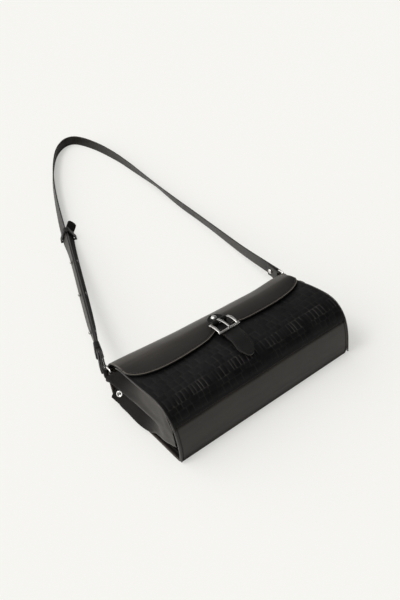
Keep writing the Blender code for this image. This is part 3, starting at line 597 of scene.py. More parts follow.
# A row of stitches along a run of (point, outward direction) pairs.
def makeStitches(name, run, pitch, length, radius, sunk=0.0001):
    marks = [0.0]
    for (first, _), (second, _) in zip(run, run[1:]):
        marks.append(marks[-1] + (second - first).length)
    count = int(marks[-1] / pitch)
    shape = bmesh.new()
    index = 0
    for number in range(count):
        place = (number + 0.5) * marks[-1] / count
        while marks[index + 1] < place:
            index += 1
        share = (place - marks[index]) / (marks[index + 1] - marks[index])
        (first, lift), (second, _) = run[index], run[index + 1]
        way = (second - first).normalized()
        side = lift.cross(way).normalized()
        spot = first.lerp(second, share) - lift * sunk
        made = bmesh.ops.create_icosphere(shape, subdivisions=1, radius=1)
        turn = Matrix((side * radius, way * length / 2, lift * radius * 0.8)).transposed().to_4x4()
        bmesh.ops.transform(shape, matrix=Matrix.Translation(spot) @ turn, verts=made["verts"])
    bmesh.ops.recalc_face_normals(shape, faces=shape.faces)
    return addPiece(name, shape, [thread], 60)


# Hides the CAD nodes that a piece stands for, and has it ride on a body if one is given.
def dress(piece, body, slot, *nodes):
    if body:
        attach(piece, body)
    if nodes:
        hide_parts(*nodes)
    return piece


# Body shell
bag = {
    "halfWidth": 0.125, "halfHeight": 0.067, "depth": 0.071, "leather": 0.0018, "gap": 0.0003,
    "skin": ((0.60, 0.850), (0.52, 0.886), (0.43, 0.908), (0.18, 0.930), (-0.12, 0.968),
             (-0.37, 0.994), (-0.57, 0.996), (-0.74, 0.952), (-0.87, 0.850), (-0.955, 0.720),
             (-1.005, 0.550), (-1.028, 0.360), (-1.031, 0.180), (-1.031, 0.030)),
    "frontShare": 0.705, "lap": 0.006, "cornerRadius": 0.004, "sag": 0.0009, "border": 0.0032,
    "askew": (0, 0.0035, 0.0033), "askewAlong": (-0.015, 0.055), "askewUp": (0.004, 0.045),
    "level": 0.55, "binding": 0.0016, "bindingIn": 0.0005, "bindingSunk": 0.0003,
    "rim": 0.0015, "rimStart": 0.0005, "rimHighlight": 0.0011, "step": 0.0040,
    "frontCrease": 0.0007, "bottomCrease": (0.0042, 0.0006), "backCrease": (0.0040, 0.0010),
}
skin = Line([Vector((0, y * bag["halfHeight"], z * bag["depth"])) for y, z in bag["skin"]])
frontEdge = skin.length * bag["frontShare"]
leather = bag["leather"]
gap = bag["gap"]
layer = leather + gap


def skinPlace(length, inset):
    outward = skin.heading(length).cross(across).normalized()
    return skin.at(length) - outward * inset, outward


# The bag lies askew: its top end stands fuller at the left and flatter at the right.
def askew(spot):
    half = bag["halfWidth"]
    share = -spot.x / half - bag["level"] * ease(-half, -0.2 * half, spot.x)
    share += bag["level"] * ease(0.55 * half, half, spot.x)
    share *= ease(*bag["askewAlong"], spot.y) * ease(*bag["askewUp"], spot.z)
    return spot + Vector(bag["askew"]) * share


# Sag of the leather between its stiff edges.
def sag(x, length):
    ends = 1 - (abs(x) / bag["halfWidth"]) ** 4
    ripple = noise.noise(Vector((x * 14, length * 18, 3.1)))
    return ends * bag["sag"] * (0.55 + 0.9 * ripple)


# Rows of the embossing, from the lower seam upwards: height, narrowest and widest tile, strength. The
# strength sets both how deep a row's grooves sink and how bright their painted highlight is.
embossing = {
    "seed": 41, "reach": 0.13, "sway": 0.0009, "drift": 0.0010,
    "groove": 0.00085, "corner": 0.0016, "dome": 0.004,
    "relief": 0.00030, "pillow": 0.00014, "lip": 0.0034, "plain": (0.0, 0.5, 1.0),
    "rows": (
        (0.0098, 0.0050, 0.0100, 0.26), (0.0062, 0.0050, 0.0110, 0.30), (0.0128, 0.0036, 0.0072, 1.00),
        (0.0072, 0.0060, 0.0120, 0.34), (0.0105, 0.0060, 0.0120, 0.34), (0.0110, 0.0060, 0.0125, 0.26),
        (0.0115, 0.0060, 0.0125, 0.20), (0.0120, 0.0060, 0.0125, 0.18), (0.0120, 0.0060, 0.0125, 0.18),
        (0.0120, 0.0060, 0.0125, 0.18), (0.0120, 0.0060, 0.0125, 0.18)),
}


# Tiles of the embossing: rows from the lower seam upwards, each cut into tiles of uneven width.
def tileRows(plan):
    random.seed(plan["seed"])
    rows = []
    low = plan["lip"]
    for height, narrow, wide, strength in plan["rows"]:
        cuts = [-plan["reach"]]
        while cuts[-1] < plan["reach"]:
            cuts.append(cuts[-1] + random.uniform(narrow, wide))
        tones = [random.random() for _ in cuts]
        rows.append((low, low + height, cuts, tones, strength))
        low += height
    return rows


tiles = tileRows(embossing)


# Depth of the groove, tone of the tile and rise of its pillow at a place on the front. The groove value
# also sets a painted highlight in the groove, stronger in some rows and uneven along them.
def embossAt(x, length):
    climb = frontEdge - length
    if bag["halfWidth"] - abs(x) < bag["border"]:
        return embossing["plain"]
    climb += embossing["sway"] * noise.noise(Vector((x * 55, climb * 30, 0.7)))
    x += embossing["drift"] * noise.noise(Vector((x * 40, climb * 60, 5.3)))
    if climb < embossing["lip"] or climb > tiles[-1][1]:
        return embossing["plain"]
    low, high, cuts, tones, strength = next(row for row in tiles if climb <= row[1])
    index = 0
    while index < len(cuts) - 2 and cuts[index + 1] < x:
        index += 1
    sides = min(x - cuts[index], cuts[index + 1] - x)
    levels = min(climb - low, high - climb)
    near = max(min(sides, levels), 0)
    turn = embossing["corner"]
    corner = max(0, turn - sides) * max(0, turn - levels) / turn
    groove = atEdge(near - corner * 0.6, embossing["groove"])
    if levels < sides:
        groove *= 0.6
    broad = noise.noise(Vector((x * 60, climb * 50, 9.1)))
    uneven = 0.5 + broad + 0.6 * noise.noise(Vector((x * 260, climb * 90, 2.2)))
    groove *= strength * min(max(0.10 + 1.3 * uneven, 0.12), 1.3)
    return groove, tones[index], ease(0, embossing["dome"], near)


def makeFront():
    half = bag["halfWidth"]

    def lay(xShare, yShare):
        x = half * (2 * xShare - 1)
        length = frontEdge * yShare
        groove, _, pillow = embossAt(x, length)
        raised = embossing["relief"] * (1 - groove) + embossing["pillow"] * pillow
        inset = leather / 2 + sag(x, length) - raised + embossing["relief"]
        inside = min(half - abs(x), frontEdge - length)
        inset *= ease(0, bag["rim"], inside + bag["rimStart"]) * 0.3 + 0.7
        return askew(skinPlace(length, inset)[0] + across * x)

    # Painted highlight on the panel's edges, and painted shade in the crease line inside the plain
    # border.
    def marks(xShare, yShare):
        x = half * (2 * xShare - 1)
        groove, tone, _ = embossAt(x, frontEdge * yShare)
        inside = half - abs(x)
        edge = min(inside, frontEdge * (1 - yShare))
        lower = 0.7 * ease(0, bag["rimHighlight"], inside)
        return {"groove": groove, "tile": tone, "rim": atEdge(edge, bag["rimHighlight"]) * (1 - lower),
                "border": 1 - ease(bag["border"] * 0.8, bag["border"], inside),
                "crease": onLine(inside - bag["border"], bag["frontCrease"])}

    piece = makeSheet("frontPanel", lay, 280, 126, leather, [embossedLeather, edgePaint], marks, 0.2)
    return dress(piece, "bag", "embossed_leather", "front_panel")


def makeBottom():
    half = bag["halfWidth"]
    start = frontEdge - bag["lap"]

    def lay(xShare, yShare):
        x = half * (2 * xShare - 1)
        length = start + (skin.length - start) * yShare
        out = ease(frontEdge, frontEdge + bag["step"], length)
        out *= 1 - ease(skin.length - 2 * bag["lap"], skin.length, length)
        inset = layer * (1 - 0.8 * out) + leather / 2 + sag(x, length) * 0.6 * out
        return skinPlace(length, inset)[0] + across * x

    # Painted highlight along the side edges, and painted shade in the crease line near them.
    def marks(xShare, yShare):
        inside = min(xShare, 1 - xShare) * 2 * half
        place, reach = bag["bottomCrease"]
        return {"rim": atEdge(inside, leather), "crease": onLine(inside - place, reach)}

    piece = makeSheet("bottomPanel", lay, 250, 44, leather, [smoothLeather, edgePaint], marks)
    return dress(piece, "bag", "smooth_leather", "bottom_panel")


def makeBack():
    halfX, halfY = bag["halfWidth"], bag["halfHeight"]
    radius = bag["cornerRadius"]

    # Pulls the grid's corners in to a round outline.
    def lay(xShare, yShare):
        x, y = halfX * (2 * xShare - 1), halfY * (2 * yShare - 1)
        away = Vector((abs(x) - halfX + radius, abs(y) - halfY + radius))
        if away.x > 0 and away.y > 0:
            reach = max(away.x, away.y)
            away = away.normalized() * reach
            x = math.copysign(halfX - radius + away.x, x)
            y = math.copysign(halfY - radius + away.y, y)
        return Vector((x, y, leather / 2))

    # Painted highlight along the edges, and painted shade in the crease line inside them.
    def marks(xShare, yShare):
        inside = min(min(xShare, 1 - xShare) * 2 * halfX, min(yShare, 1 - yShare) * 2 * halfY)
        place, reach = bag["backCrease"]
        return {"rim": atEdge(inside, place / 2), "crease": onLine(inside - place, reach)}

    piece = makeSheet("backPanel", lay, 124, 66, leather, [smoothLeather, edgePaint], marks)
    return dress(piece, "bag", "smooth_leather", "back_panel")


# A narrow binding covers each side edge of the front and the bottom.
def makeBinding(name, side):
    points, lifts = [], []
    for share in shares(120):
        length = skin.length * (0.01 + 0.985 * share)
        spot, outward = skinPlace(length, bag["bindingSunk"])
        points.append(askew(spot + across * side * (bag["halfWidth"] - bag["bindingIn"])))
        lifts.append(outward)
    cord = makeBar(name, points, piping, bag["binding"], bag["binding"], False, 12, lifts)
    dress(cord, "bag", "smooth_leather")


makeFront()
makeBottom()
makeBack()
makeBinding("bindingLeft", -1)
makeBinding("bindingRight", 1)
print("shell made")

# Gussets
# Ribs from the mouth to the lower end, each from the back panel round to the front one.
gusset = {
    "ribs": (
        ((0.1220, 0.0630, 0.0030), (0.1300, 0.0585, 0.0105), (0.1262, 0.0555, 0.0185),
         (0.1195, 0.0550, 0.0250), (0.1330, 0.0530, 0.0370), (0.1300, 0.0455, 0.0500)),
        ((0.1235, 0.0520, 0.0030), (0.1285, 0.0470, 0.0080), (0.1225, 0.0460, 0.0165),
         (0.1140, 0.0440, 0.0280), (0.1322, 0.0395, 0.0415), (0.1300, 0.0350, 0.0520)),
        ((0.1235, 0.0250, 0.0030), (0.1290, 0.0220, 0.0080), (0.1225, 0.0200, 0.0180),
         (0.1135, 0.0180, 0.0300), (0.1305, 0.0130, 0.0435), (0.1282, 0.0110, 0.0540)),
        ((0.1230, -0.0050, 0.0030), (0.1280, -0.0080, 0.0080), (0.1240, -0.0100, 0.0170),
         (0.1185, -0.0120, 0.0275), (0.1275, -0.0160, 0.0400), (0.1256, -0.0200, 0.0500)),
        ((0.1185, -0.0300, 0.0030), (0.1180, -0.0330, 0.0090), (0.1248, -0.0370, 0.0140),
         (0.1252, -0.0400, 0.0240), (0.1250, -0.0440, 0.0360), (0.1245, -0.0465, 0.0460)),
        ((0.1180, -0.0615, 0.0030), (0.1180, -0.0620, 0.0120), (0.1235, -0.0625, 0.0205),
         (0.1240, -0.0625, 0.0280), (0.1240, -0.0620, 0.0350), (0.1238, -0.0610, 0.0400)),
    ),
    "fronts": (0.0348, 0.0250, 0.0070, -0.0230, -0.0490, -0.0655), "frontX": 0.1236,
    "clear": 0.0003, "wrinkle": 0.0006, "rimHighlight": 0.0012, "rightEar": (0.0045, 0.0000, 0.0052),
    "pocketY": -0.0330, "pocketZ": 0.0150,
}


def shellInset(length):
    start = frontEdge - 2 * bag["lap"]
    return layer * (1 + ease(start, frontEdge - bag["lap"], length))


def makeRibs():
    ribs = []
    for rib, level in zip(gusset["ribs"], gusset["fronts"]):
        length = skin.where(1, level)
        front = skinPlace(length, shellInset(length) + leather / 2 + gusset["clear"])[0]
        ribs.append([*(Vector(point) for point in rib), Vector((gusset["frontX"], front.y, front.z))])
    return ribs


ribs = makeRibs()


def gussetPlace(down, front, side):
    spot = between([between(rib, front) for rib in ribs], down)
    spot.x += gusset["wrinkle"] * noise.noise(Vector((down * 9, front * 7, side * 2.3)))
    if side > 0:
        near = math.exp(-((front - 0.80) / 0.12) ** 2 - ((down - 0.36) / 0.13) ** 2)
        spot += Vector(gusset["rightEar"]) * near
    spot.x *= side
    return askew(spot)


def makeGusset(name, side, node):
    def lay(xShare, yShare):
        return gussetPlace(yShare, xShare, side)

    # Painted shade darkens the valley behind the ridge, the pocket at the bottom and the upper front
    # band; a painted highlight runs along the ridge and the edges.
    def marks(xShare, yShare):
        inside = min(min(xShare, 1 - xShare) * 0.08, yShare * 0.13)
        hollow = (1 - ease(0.58, 0.645, xShare)) * (1 - ease(0.50, 0.78, yShare)) * 0.75
        pocket = (1 - ease(0.20, 0.30, xShare)) * ease(0.74, 0.80, yShare)
        ridge = math.exp(-((xShare - 0.655) / 0.014) ** 2)
        ridge *= ease(0.03, 0.12, yShare) * (1 - ease(0.5, 0.7, yShare))
        upper = ease(0.60, 0.67, xShare) * (1 - ease(0.25, 0.56, yShare))
        return {"rim": max(atEdge(inside, gusset["rimHighlight"]), ridge * 0.7), "crease": max(hollow, pocket),
                "shade": upper}

    piece = makeSheet(name, lay, 70, 110, leather, [smoothLeather, edgePaint, innerLeather], marks)
    # Painted shade: the faces in the pocket take the dark inner leather.
    for face in piece.data.polygons:
        if face.center.y < gusset["pocketY"] and face.center.z < gusset["pocketZ"]:
            face.material_index = 2
    return dress(piece, "bag", "smooth_leather", node)


makeGusset("gussetLeft", -1, "gusset_left")
makeGusset("gussetRight", 1, "gusset_right")
print("gussets made")

# Lining
inside = {"cloth": 0.0008, "clear": 0.0006, "margin": 0.0150, "board": 0.0012,
          "pocket": (0.150, 0.080), "puff": 0.0012}


def makeLining():
    cloth = inside["cloth"]
    points = []
    start = skin.where(1, bag["halfHeight"] * 0.54)
    finish = skin.where(2, bag["depth"] * 0.20)
    for share in shares(60):
        length = start + (finish - start) * share
        board = ease(frontEdge - 3 * bag["lap"], frontEdge - bag["lap"], length) * (inside["board"] + gap)
        points.append(skinPlace(length, shellInset(length) + cloth / 2 + board + inside["clear"])[0])
    level = leather + gap + cloth / 2
    half = bag["halfHeight"]
    turn = Line([points[-1], Vector((0, -half * 0.90, level + 4 * cloth)),
                 Vector((0, -half * 0.84, level)), Vector((0, -half * 0.6, level)),
                 Vector((0, half * 0.2, level)), Vector((0, half * 0.93, level))], 8)
    reach = bag["halfWidth"] - inside["margin"]
    points += turn.points[1:]

    def layLining(xShare, yShare):
        point = points[round(yShare * (len(points) - 1))]
        return askew(point + across * reach * (2 * xShare - 1))

    piece = makeSheet("lining", layLining, 60, len(points) - 1, cloth, [liningCloth], None, 0)
    dress(piece, "bag", "lining_cloth", "lining")
    width, height = inside["pocket"]

    def lay(xShare, yShare):
        x, y = width * (xShare - 0.5), height * (yShare - 0.5)
        puff = inside["puff"] * math.sin(math.pi * xShare) * ease(0.2, 1, yShare)
        return Vector((x, y, leather + 1.5 * cloth + 2 * gap + puff))

    pocket = makeSheet("innerPocket", lay, 40, 22, cloth, [liningCloth], None, 0)
    dress(pocket, "bag", "lining_cloth", "inner_pocket")


makeLining()
print("lining made")

# Flap
flap = {
    "sideInset": 0.0005, "standOff": 0.0004, "drop": 0.0543, "liningInset": 0.003,
    "top": ((1.031, 0.004), (1.034, 0.270), (0.985, 0.560), (0.860, 0.745)),
    "fold": (0.746, 0.845), "leaf": (0.53, 0.42, 0.20, -0.02, -0.25),
    "edge": ((0.00, 0.785), (0.07, 0.785), (0.13, 0.860), (0.22, 0.940), (0.38, 0.985), (0.57, 1.000),
             (0.74, 0.960), (0.86, 0.875), (0.94, 0.765), (0.98, 0.665), (1.00, 0.570)),
    "stitch": 0.0032, "groove": 0.0004, "grooveReach": 0.0009, "thread": (0.0034, 0.0024, 0.00028),
    "wave": 0.0005, "rim": 0.0018, "rimHighlight": 0.6, "lit": 0.0020,
    "fine": (0, 0.0004, 0.0009, 0.0015, 0.0021, 0.0026, 0.0031, 0.0036, 0.0042, 0.005, 0.0065, 0.009),
    "bendFrom": (0, 0.0545, 0.0555), "bendTo": (0, 0.0450, 0.0628),
}
flapRise = flap["standOff"] + inside["cloth"] + gap + leather
flapHalf = bag["halfWidth"] - flap["sideInset"]


def makeFlapLine():
    half, depth = bag["halfHeight"], bag["depth"]
    top = [Vector((0, y * half, z * depth)) for y, z in flap["top"]]
    fold = Vector((0, flap["fold"][0] * half, flap["fold"][1] * depth))
    leaf = [skinPlace(skin.where(1, half * share), -flapRise)[0] for share in flap["leaf"]]
    return Line([*top, fold, *leaf])


flapLine = makeFlapLine()
foldMark = flapLine.where(1, flap["fold"][0] * bag["halfHeight"])


def flapPlace(length, depth):
    outward = flapLine.heading(length).cross(across).normalized()
    return flapLine.at(length) - outward * depth, outward


# How far the flap's edge hangs below the fold.
def flapReach(x):
    return flap["drop"] * readOff(flap["edge"], abs(x) / flapHalf)


# How much longer a step down to the slanting edge is than one square to it.
def slant(x, nearby=0.001):
    slope = (flapReach(abs(x) + nearby) - flapReach(max(abs(x) - nearby, 0))) / (2 * nearby)
    return math.hypot(1, slope)


def onFlap(y, height):
    return flapPlace(flapLine.where(1, y), -height)


def makeFlap():
    fine = flap["fine"]
    rows = 64

    # Columns stand closer together towards the flap's ends, and rows near its edge.
    def gridPlace(xShare, yShare):
        side = 2 * xShare - 1
        x = math.sin(math.pi / 2 * side) * flapHalf * 0.5 + flapHalf * side * 0.5
        total = foldMark + flapReach(x)
        row = round((1 - yShare) * rows)
        if row < len(fine):
            return x, total - fine[row]
        share = (row - len(fine) + 1) / (rows - len(fine) + 1)
        return x, (total - fine[-1]) * (1 - share)

    def lay(xShare, yShare):
        x, length = gridPlace(xShare, yShare)
        wave = flap["wave"] * noise.noise(Vector((x * 22, length * 26, 8.2))) * ease(0, 0.03, length)
        wave -= flap["groove"] * marks(xShare, yShare)["crease"]
        return askew(flapPlace(length, leather / 2 - wave)[0] + across * x)

    # Painted highlight on the flap's rim, painted shade in the groove by the stitches, and painted shade
    # growing from the fold towards the edge, more to the right.
    def marks(xShare, yShare):
        x, length = gridPlace(xShare, yShare)
        below = (foldMark + flapReach(x) - length) / slant(x)
        edge = min(below, flapHalf - abs(x))
        share = (length - foldMark) / (flapReach(x) + 0.001)
        shade = ease(0.0, 0.95, share) * (0.75 + 0.25 * ease(-flapHalf, flapHalf, x))
        return {"rim": flap["rimHighlight"] * atEdge(edge, flap["rim"]),
                "crease": onLine(below - flap["stitch"], flap["grooveReach"]),
                "shade": shade * ease(0, flap["lit"], edge)}

    piece = makeSheet("flap", lay, 200, rows, leather, [flapLeather, edgePaint], marks)
    dress(piece, None, "smooth_leather", "flap_top", "flap_leaf")
    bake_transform(piece)


def makeFlapLining():
    inset = flap["liningInset"]

    def lay(xShare, yShare):
        x = math.sin(math.pi / 2 * (2 * xShare - 1)) * (flapHalf - inset)
        length = foldMark + inset + (flapReach(x) - 2 * inset) * yShare
        return askew(flapPlace(length, leather + gap + inside["cloth"] / 2)[0] + across * x)

    lining = makeSheet("flapLining", lay, 120, 24, inside["cloth"], [liningCloth], None, 0)
    dress(lining, "flap_leaf_part", "lining_cloth", "flap_lining")


def makeFlapStitches():
    run = []
    for share in shares(240):
        x = flapHalf * 0.965 * (2 * share - 1)
        point, outward = flapPlace(foldMark + flapReach(x) - flap["stitch"] * slant(x), 0)
        run.append((askew(point + across * x), outward))
    dress(makeStitches("flapStitches", run, *flap["thread"]), "flap_leaf_part", "smooth_leather")


makeFlap()
makeFlapLining()
makeFlapStitches()
print("flap made")

# Closure
closure = {
    "width": 0.0205, "strip": 0.0020, "chape": 0.0014, "top": 0.0290, "end": -0.0100,
    "tabEnd": -0.0545, "tip": 0.0125, "droop": 0.0012, "lean": 0.0080,
    "magnetPlace": -0.0380, "magnetRadius": 0.0070, "magnetHeight": 0.0013,
    "bendFrom": (0, -0.0070, 0.0745), "bendTo": (0, -0.0140, 0.0745),
    "stitchTop": -0.0150, "stitchLow": 0.0115, "stitchIn": 0.0026, "stitchTip": 0.0028,
    "stitchCorner": (0.0034, 0.0045), "thread": (0.0030, 0.0021, 0.00022), "slotLength": 0.0052,
}
buckle = {
    "barY": 0.0130, "length": 0.0195, "width": 0.0290, "wire": 0.0012, "frontWire": 0.0017,
    "arm": (0.0032, 0.0019), "arch": 0.0022, "front": 0.0031, "hinge": 0.0023,
    "pastFront": 0.0006, "pastHinge": 0.0008, "prong": (0.0030, 0.0014), "prongRise": 0.0012,
}
stripMiddle = gap + closure["strip"] / 2
stripTop = gap + closure["strip"]
chapeLow = stripTop + gap + closure["chape"] / 2
barHeight = stripTop + 2 * gap + closure["chape"] + buckle["wire"]
chapeHigh = chapeLow + closure["chape"] + gap
frontHeight = stripTop + gap + buckle["frontWire"]


def roundEnd(full, distance, length):
    share = min(max(distance / length, 0.02), 1)
    return full * math.sqrt(1 - (1 - share) ** 2)


# Half width near a pointed end with a blunt tip.
def pointEnd(full, distance, length):
    share = min(max(distance / length, 0), 1)
    return min(full, roundEnd(full * 0.34, distance, length * 0.2) + full * 0.66 * share)


def onTab(y):
    root = onFlap(closure["end"], stripMiddle)[0]
    length = skin.where(1, closure["magnetPlace"])
    over = skinPlace(length, -(3 * gap + 2 * closure["magnetHeight"] + closure["strip"] / 2))[0]
    line = skin.heading(length)
    reach = (y - over.y) / line.y
    flat = over + line * reach
    lean = closure["lean"] * (closure["end"] - y) / (closure["end"] - closure["tabEnd"])
    beyond = max(0, reach - closure["magnetRadius"])
    flat -= upwards * closure["droop"] * (beyond / closure["tip"]) ** 2
    share = ease(closure["magnetPlace"] + closure["magnetRadius"], closure["end"], y)
    return flat.lerp(Vector((0, y, root.z)), share) - across * lean


def makeClosureStrap():
    stations = []
    top, end, tabEnd, full = closure["top"], closure["end"], closure["tabEnd"], closure["width"] / 2
    for share in shares(30)[:-1]:
        y = top + (end - top) * (1 - math.cos(math.pi / 2 * share))
        stations.append((onFlap(y, stripMiddle)[0], across * roundEnd(full, top - y, full)))
    for share in shares(40):
        y = end + (tabEnd - end) * math.sin(math.pi / 2 * share)
        stations.append((onTab(y), across * pointEnd(full, y - tabEnd, closure["tip"])))
    piece = makeBand("closureStrap", stations, 14, closure["strip"], [tabLeather, edgePaint],
                     bandMarks(closure["width"]))
    dress(piece, None, "smooth_leather", "closure_strip", "closure_tab")
    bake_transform(piece)


# One row of stitches down the tab's one edge, round its tip and up the other.
def makeTabStitches():
    run = []

    def sew(y, sideways):
        run.append((onTab(y) + upwards * closure["strip"] / 2 + across * sideways, upwards))

    top, low = closure["stitchTop"], closure["tabEnd"] + closure["stitchLow"]
    aside = closure["width"] / 2 - closure["stitchIn"]
    cornerAside, cornerUp = closure["stitchCorner"]
    for share in shares(24):
        sew(top + (low - top) * share, -aside)
    sew(closure["tabEnd"] + cornerUp, -cornerAside)
    sew(closure["tabEnd"] + closure["stitchTip"], 0)
    sew(closure["tabEnd"] + cornerUp, cornerAside)
    for share in shares(24):
        sew(low + (top - low) * share, aside)
    dress(makeStitches("tabStitches", run, *closure["thread"]), "tab", "smooth_leather")


def makeChape():
    thick = closure["chape"]
    radius = buckle["wire"] + gap + thick / 2
    bar, outward = onFlap(buckle["barY"], barHeight)
    topwards = outward.cross(across).normalized()
    stations = []

    def add(point):
        width = roundEnd(closure["width"] / 2 - gap, closure["top"] - point.y, closure["width"] / 2)
        stations.append((point, across * width))

    for share in shares(14):
        y = closure["top"] - 2 * gap + (buckle["barY"] + radius / 2 - closure["top"]) * share
        add(onFlap(y, chapeLow)[0])
    for share in shares(18):
        angle = math.radians(216 * share)
        add(bar - outward * radius * math.cos(angle) - topwards * radius * math.sin(angle))
    landing = buckle["barY"] + 1.9 * radius
    for share in shares(19):
        y = landing + (closure["top"] - landing) * math.sin(math.pi / 2 * share)
        add(onFlap(y, chapeHigh)[0])
    columns = 20
    last = len(stations) - 1

    def slot(xShare, yShare):
        point = stations[round(yShare * last)][0]
        return abs(xShare - 0.5) < 2.1 / columns and point.y - buckle["barY"] < closure["slotLength"]

    piece = makeBand("buckleChape", stations, columns, thick, [tabLeather, edgePaint],
                     bandMarks(closure["width"], 0.0012), slot)
    dress(piece, "flap_leaf_part", "smooth_leather", "buckle_chape")


# Two flat arched arms, a round front bar that stands past them and a hidden hinge bar.
def makeBuckleFrame():
    bar = onFlap(buckle["barY"], barHeight)[0]
    front = onFlap(buckle["barY"] - buckle["length"], frontHeight)[0]
    lengthways = front - bar
    lift = across.cross(lengthways).normalized()
    if lift.z < 0:
        lift = -lift
    half = buckle["width"] / 2 - buckle["frontWire"]
    made = []
    for side in (-1, 1):
        points = []
        for share in shares(16):
            rise = buckle["arch"] * math.sin(math.pi * share)
            points.append(bar + across * side * half + lengthways * share + lift * rise)
        made.append(makeBar("buckleArm", points, nickel, *buckle["arm"], False, 20, lift,
                            lambda share: 0.8 + 0.35 * math.sin(math.pi * share)))
    ends = buckle["width"] / 2 + buckle["pastFront"]
    run = [front + across * ends * (2 * share - 1) for share in shares(16)]
    made.append(makeBar("buckleBar", run, nickel, buckle["front"], buckle["front"], False, 20, lift))
    run = [bar + across * (half + buckle["pastHinge"]) * (2 * share - 1) for share in shares(8)]
    made.append(makeBar("buckleHinge", run, nickel, buckle["hinge"], buckle["hinge"], False, 14, lift))
    for piece in made:
        soften(piece, 0.0004, 3)
        dress(settle(piece), "buckle", "nickel", "buckle_frame")


# A flat pin hooked round the hinge bar, its tip resting on the front bar.
def makePin():
    bar, outward = onFlap(buckle["barY"], barHeight)
    front, frontUp = onFlap(buckle["barY"] - buckle["length"], frontHeight)
    width, metal = buckle["prong"]
    hook = buckle["wire"] + gap + metal / 2
    topwards = outward.cross(across).normalized()
    rest = front + frontUp * (buckle["frontWire"] + gap + metal / 2)
    tip = rest - topwards * buckle["frontWire"] * 0.6
    start = bar + outward * hook
    points, lifts = [], []
    for share in shares(20):
        angle = math.radians(-60 + 240 * share)
        away = topwards * math.sin(angle) - outward * math.cos(angle)
        points.append(bar + away * hook)
        lifts.append(away)
    for share in shares(12)[1:]:
        points.append(start.lerp(tip, share) + outward * buckle["prongRise"] * math.sin(math.pi * share))
        lifts.append(outward)
    prong = makeBar("bucklePin", points, nickel, width, metal, False, 16, lifts,
                    lambda share: 1.12 - 0.42 * ease(0.6, 1, share))
    dress(prong, "prong", "nickel", "buckle_prong")


# The rivet's head: its rim's radius and height at a few places, and the dome above.
rivet = {"y": 0.0220, "shank": 0.0014, "rim": ((0.0031, 0), (0.0034, 0.0002), (0.0035, 0.0006)),
         "dome": 0.0033, "domeFoot": 0.0007, "domeRise": 0.0017}


def makeRivet():
    level = chapeHigh + closure["chape"] / 2 + gap
    seat, outward = onFlap(rivet["y"], level)
    foot = level + leather
    profile = [(0, -foot), (rivet["shank"], -foot), (rivet["shank"], 0), *rivet["rim"]]
    profile += dome(rivet["dome"], rivet["domeFoot"], rivet["domeRise"])
    piece = makeTurned("closureRivet", profile, seat, outward, nickel, 48)
    dress(piece, "flap_leaf_part", "nickel", "closure_rivet")


makeClosureStrap()
makeTabStitches()
makeChape()
makeBuckleFrame()
makePin()
makeRivet()
print("closure made")

# Side snaps
# The snap's side and rim: shares of its radius, with heights over its seat and under its top.
snap = {"radius": 0.0040, "height": 0.0016, "back": 0.0008, "shank": 0.0014, "mouth": 0.0018,
        "depth": 0.0024, "side": ((1, 0), (1, 0.0006), (0.95, 0.0012)),
        "rim": ((0.84, 0.0001), (0.72, 0), (0.58, 0.0002)), "lip": 0.0005,
        "down": 0.150, "front": 0.33, "axis": (0.55, -0.58, 0.60)}


def makeSnap(name, side, node):
    spot = gussetPlace(snap["down"], snap["front"], side)
    axis = Vector((side * snap["axis"][0], *snap["axis"][1:])).normalized()
    face = leather / 2 + 2 * gap
    radius, top, shank, mouth = snap["radius"], face + snap["height"], snap["shank"], snap["mouth"]
    profile = [(0, -face - snap["back"]), (radius, -face - snap["back"]), (radius, -face), (shank, -face),
               (shank, face)]
    profile += [(radius * share, face + rise) for share, rise in snap["side"]]
    profile += [(radius * share, top - fall) for share, fall in snap["rim"]]
    profile += [(mouth, top - snap["lip"]), (mouth * 0.95, top - snap["depth"]), (0, top - snap["depth"])]
    dress(makeTurned(name, profile, spot, axis, nickel, 44), "bag", "nickel", node)


makeSnap("snapLeft", -1, "gusset_snap_left")
makeSnap("snapRight", 1, "gusset_snap_right")

# Rings
# Each ring hangs a little from where the solid has it, as its shift says.
ring = {"wire": 0.0012, "clear": 0.0170, "pitch": 0.0090, "corner": 0.0020, "barY": 0.0600,
        "x": 0.1286, "z": 0.047996, "tab": 0.0014, "tabWidth": 0.0140, "tabTip": 0.0040, "foot": 0.0185,
        "shift": {-1: (0.0014, -0.0078, -0.0030), 1: (0.0020, -0.0120, -0.0020)}}


# Middle of a ring's inner bar.
def ringBar(side):
    return Vector((side * ring["x"], ring["barY"], ring["z"])) + Vector(ring["shift"][side])


def makeRing(name, side, node):
    corner = ring["corner"]
    high, near, far = ring["clear"] / 2 + ring["wire"] - corner, corner, ring["pitch"] - corner
    points = []
    for quarter, (y, z) in enumerate(((far, high), (far, -high), (near, -high), (near, high))):
        for share in shares(6):
            angle = math.pi / 2 * (quarter + share)
            away = Vector((0, y + corner * math.sin(angle), z + corner * math.cos(angle)))
            points.append(ringBar(side) + away)
    piece = makeBar(name, points, nickel, 2 * ring["wire"], 2 * ring["wire"], True, 16, across)
    dress(piece, "strap", "nickel", node)


